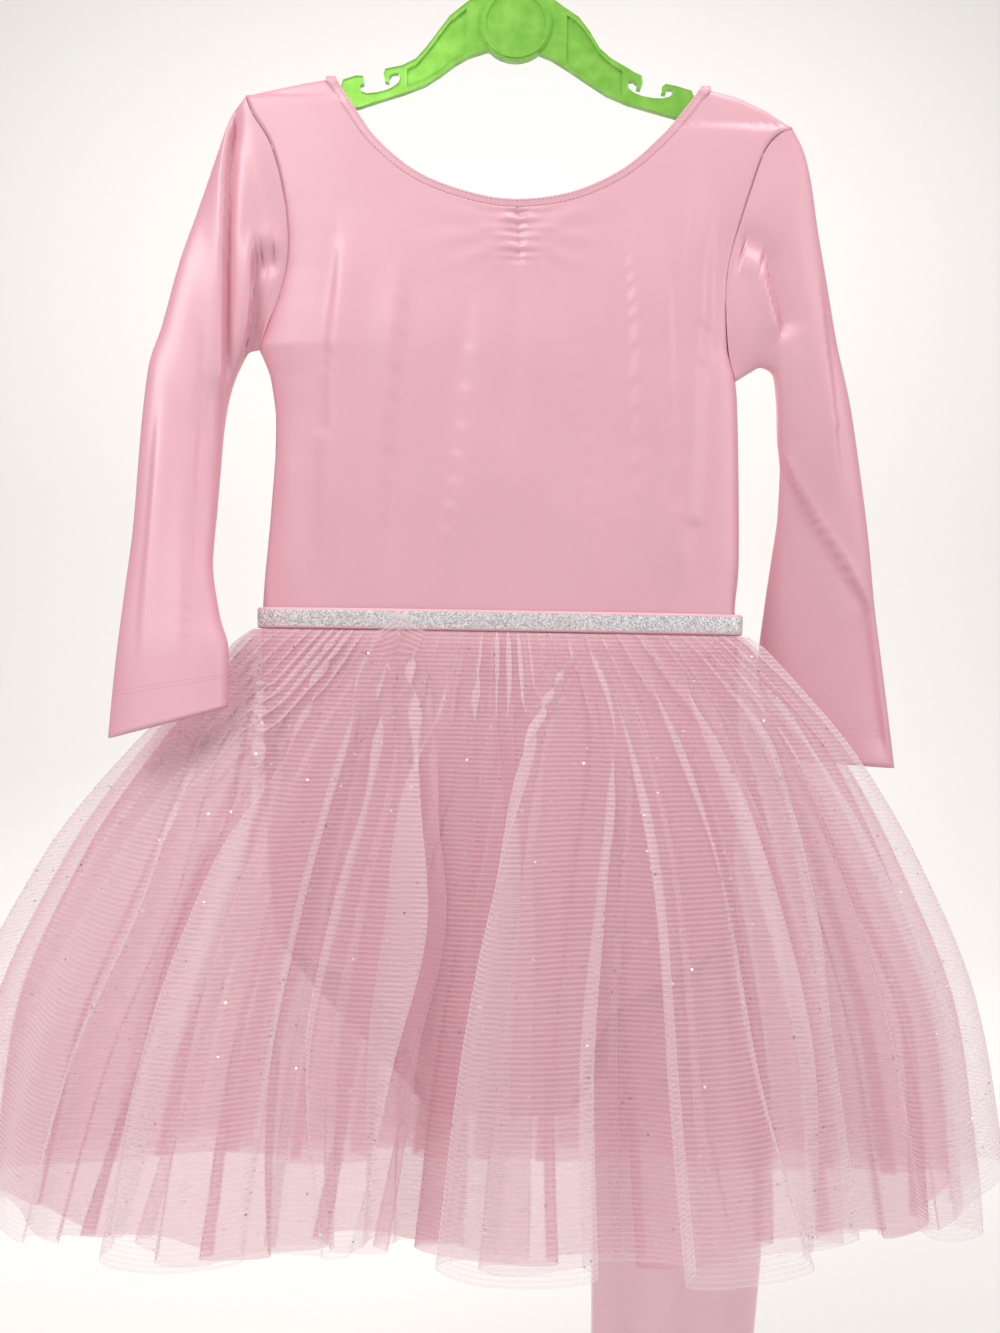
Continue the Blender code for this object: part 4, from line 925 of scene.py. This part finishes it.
# ---- glitter on the outer tulle ----
def make_glitter(grid, count=5200):
    rows, columns, _ = grid.shape
    n = normals(grid, True)
    verts, faces, painted_glint_tones = [], [], []
    r = RNG.random(count) ** 0.75 * (rows - 2)
    c = RNG.random(count) * columns
    size = RNG.choice([0.32, 0.42, 0.6], count, p=[0.5, 0.35, 0.15])
    kind = RNG.random(count)
    for i in range(count):
        a, b = int(r[i]), int(c[i])
        fr, fc = r[i] - a, c[i] - b
        b1 = (b + 1) % columns
        p = ((1 - fr) * (1 - fc) * grid[a, b] + (1 - fr) * fc * grid[a, b1] + fr * (1 - fc) * grid[a + 1, b]
             + fr * fc * grid[a + 1, b1])
        normal = n[a, b]
        tilt = RNG.normal(0, 0.35, 3)
        up = normal + tilt
        up /= np.linalg.norm(up)
        e1 = np.cross(up, (0.3, 0.2, 1.0))
        e1 /= np.linalg.norm(e1)
        e2 = np.cross(up, e1)
        side = 1 if RNG.random() < 0.5 else -1
        centre = p + normal * 0.25 * (-side)
        k = len(verts)
        for j in range(6):
            t = math.pi * j / 3
            verts.append(centre + size[i] * (e1 * math.cos(t) + e2 * math.sin(t)))
        faces.append([k + j for j in range(6)])
        # painted glints: each flake's tone stands in for how it catches the light, near white or coloured for a sparkle
        # and dark grey for one that catches none
        if kind[i] < 0.62:
            g = 0.22 + 0.2 * RNG.random()
            tone = (g, g * 0.94, g)
        elif kind[i] < 0.88:
            tone = (0.95, 0.93, 0.95)
        else:
            tone = [(0.95, 0.80, 0.25), (0.25, 0.45, 0.95), (0.30, 0.85, 0.60), (0.95, 0.45, 0.40), (0.75, 0.45, 0.95)][
                RNG.integers(5)]
        painted_glint_tones.append(tone)
    m = Nodes("glitter_flakes")
    m.shader.inputs["Roughness"].default_value = 0.2
    m.shader.inputs["Metallic"].default_value = 0.6
    attribute = m.add("ShaderNodeAttribute", attribute_name="flake")
    m.link(attribute.outputs["Color"], m.shader.inputs["Base Color"])
    obj = facets_mesh("glitter", verts, faces, m.material)
    layer = obj.data.color_attributes.new("flake", "FLOAT_COLOR", "FACE" if False else "CORNER")
    colours = np.repeat(np.column_stack([np.array(painted_glint_tones), np.ones(count)]), 6, axis=0)
    layer.data.foreach_set("color", colours.astype(np.float32).ravel())
    return obj


def cuff_stitches(sleeves):
    """Two close rows of stitches round each cuff, 20 mm above its edge."""
    verts, faces = [], []
    for side, (obj, grid) in sleeves.items():
        rows, columns, _ = grid.shape
        n = normals(grid, True) * (-1 if side == "left" else 1)
        length = np.linalg.norm(np.diff(grid, axis=0), axis=2).mean(1)
        up = np.cumsum(length[::-1])[::-1]
        for above in (19.0, 21.2):
            r = int(np.argmin(np.abs(up - above)))
            for c in range(0, columns):
                p, q = grid[r, c], grid[r, (c + 1) % columns]
                gap = np.linalg.norm(q - p)
                parts = max(1, int(round(gap / 2.2)))
                for k in range(parts):
                    a = p + (q - p) * (k + 0.1) / parts
                    b = p + (q - p) * (k + 0.75) / parts
                    if np.linalg.norm(b - a) < 0.4:
                        continue
                    f = n[r, c] * (SATIN / 2 + 0.03)
                    w = np.array([0, 0, 0.18])
                    i = len(verts)
                    verts += [a + f - w, a + f + w, b + f + w, b + f - w]
                    faces.append([i, i + 1, i + 2, i + 3])
    obj = bmesh_faces("cuff_stitches", verts, faces, THREAD_LOOK)


# ---- light, floor and camera ----
def area_light(name, place, aim, size, power, colour=(1, 1, 1)):
    data = bpy.data.lights.new(name, "AREA")
    data.shape = "RECTANGLE"
    data.size, data.size_y = size
    data.energy = power
    data.color = colour
    lamp = bpy.data.objects.new(name, data)
    bpy.context.scene.collection.objects.link(lamp)
    lamp.location = place
    lamp.rotation_mode = "QUATERNION"
    lamp.rotation_quaternion = (Vector(aim) - Vector(place)).to_track_quat("-Z", "Y")


def make_stage():
    turn = np.linspace(0, math.pi / 2, 13)
    profile = [(-4.5, -1.0)] + [(2.0 + 1.0 * math.sin(t), -1.0 * math.cos(t)) for t in turn] + [(3.0, 4.5)]
    verts = [(x, y, z) for x in (-8.0, 8.0) for y, z in profile]
    count = len(profile)
    mesh = bpy.data.meshes.new("backdrop")
    mesh.from_pydata(verts, [], [(i, i + 1, i + 1 + count, i + count) for i in range(count - 1)])
    mesh.shade_smooth()
    mesh.materials.append(plain_material("backdrop", (0.74, 0.72, 0.70), 0.95))
    floor = bpy.data.objects.new("backdrop", mesh)
    bpy.context.scene.collection.objects.link(floor)
    world = bpy.data.worlds.new("studio")
    world.use_nodes = True
    world.node_tree.nodes["Background"].inputs[0].default_value = (0.72, 0.70, 0.69, 1)
    world.node_tree.nodes["Background"].inputs[1].default_value = 0.72
    bpy.context.scene.world = world
    area_light("key", (-1.1, -1.5, 1.1), (0, 0, -0.4), (0.9, 0.9), 26, (1, 0.985, 0.97))
    area_light("top", (0.5, -0.5, 1.4), (0, 0, -0.4), (0.8, 0.8), 14)
    area_light("fill", (1.6, -0.8, 0.1), (0, 0, -0.5), (0.8, 1.2), 6)
    area_light("rear", (-0.8, 1.9, 0.8), (0, 0, -0.4), (1.4, 1.2), 16)
    area_light("wall", (0.0, 1.2, 1.2), (0, 3.0, -0.6), (3.0, 0.6), 40)


CAMERA_DISTANCE = 0.775
CAMERA_LENS = 38.06
CAMERA_ROLL = 0.95
PHOTO_CENTRE = (-0.00275, -0.4277)


def make_camera():
    data = bpy.data.cameras.new("camera")
    data.sensor_width = 36
    data.lens = CAMERA_LENS
    cam = bpy.data.objects.new("camera", data)
    cam.location = (PHOTO_CENTRE[0], -CAMERA_DISTANCE, PHOTO_CENTRE[1])
    cam.rotation_euler = (math.radians(90), -math.radians(CAMERA_ROLL), 0)
    bpy.context.scene.collection.objects.link(cam)
    bpy.context.scene.camera = cam


make_camera()
make_stage()
make_bodice()
sleeves = make_sleeves()
make_binding()
make_brief()
make_band()
skirt = make_skirt()
make_sash()
make_glitter(skirt["outer"][1])
cuff_stitches(sleeves)
for node in ("hanger", "hanger_hook"):
    NODES[node].data.materials.clear()
    NODES[node].data.materials.append(PLASTIC_LOOK)

scene = bpy.context.scene
scene.view_settings.view_transform = "Standard"
scene.cycles.transparent_max_bounces = 24
scene.cycles.max_bounces = 6
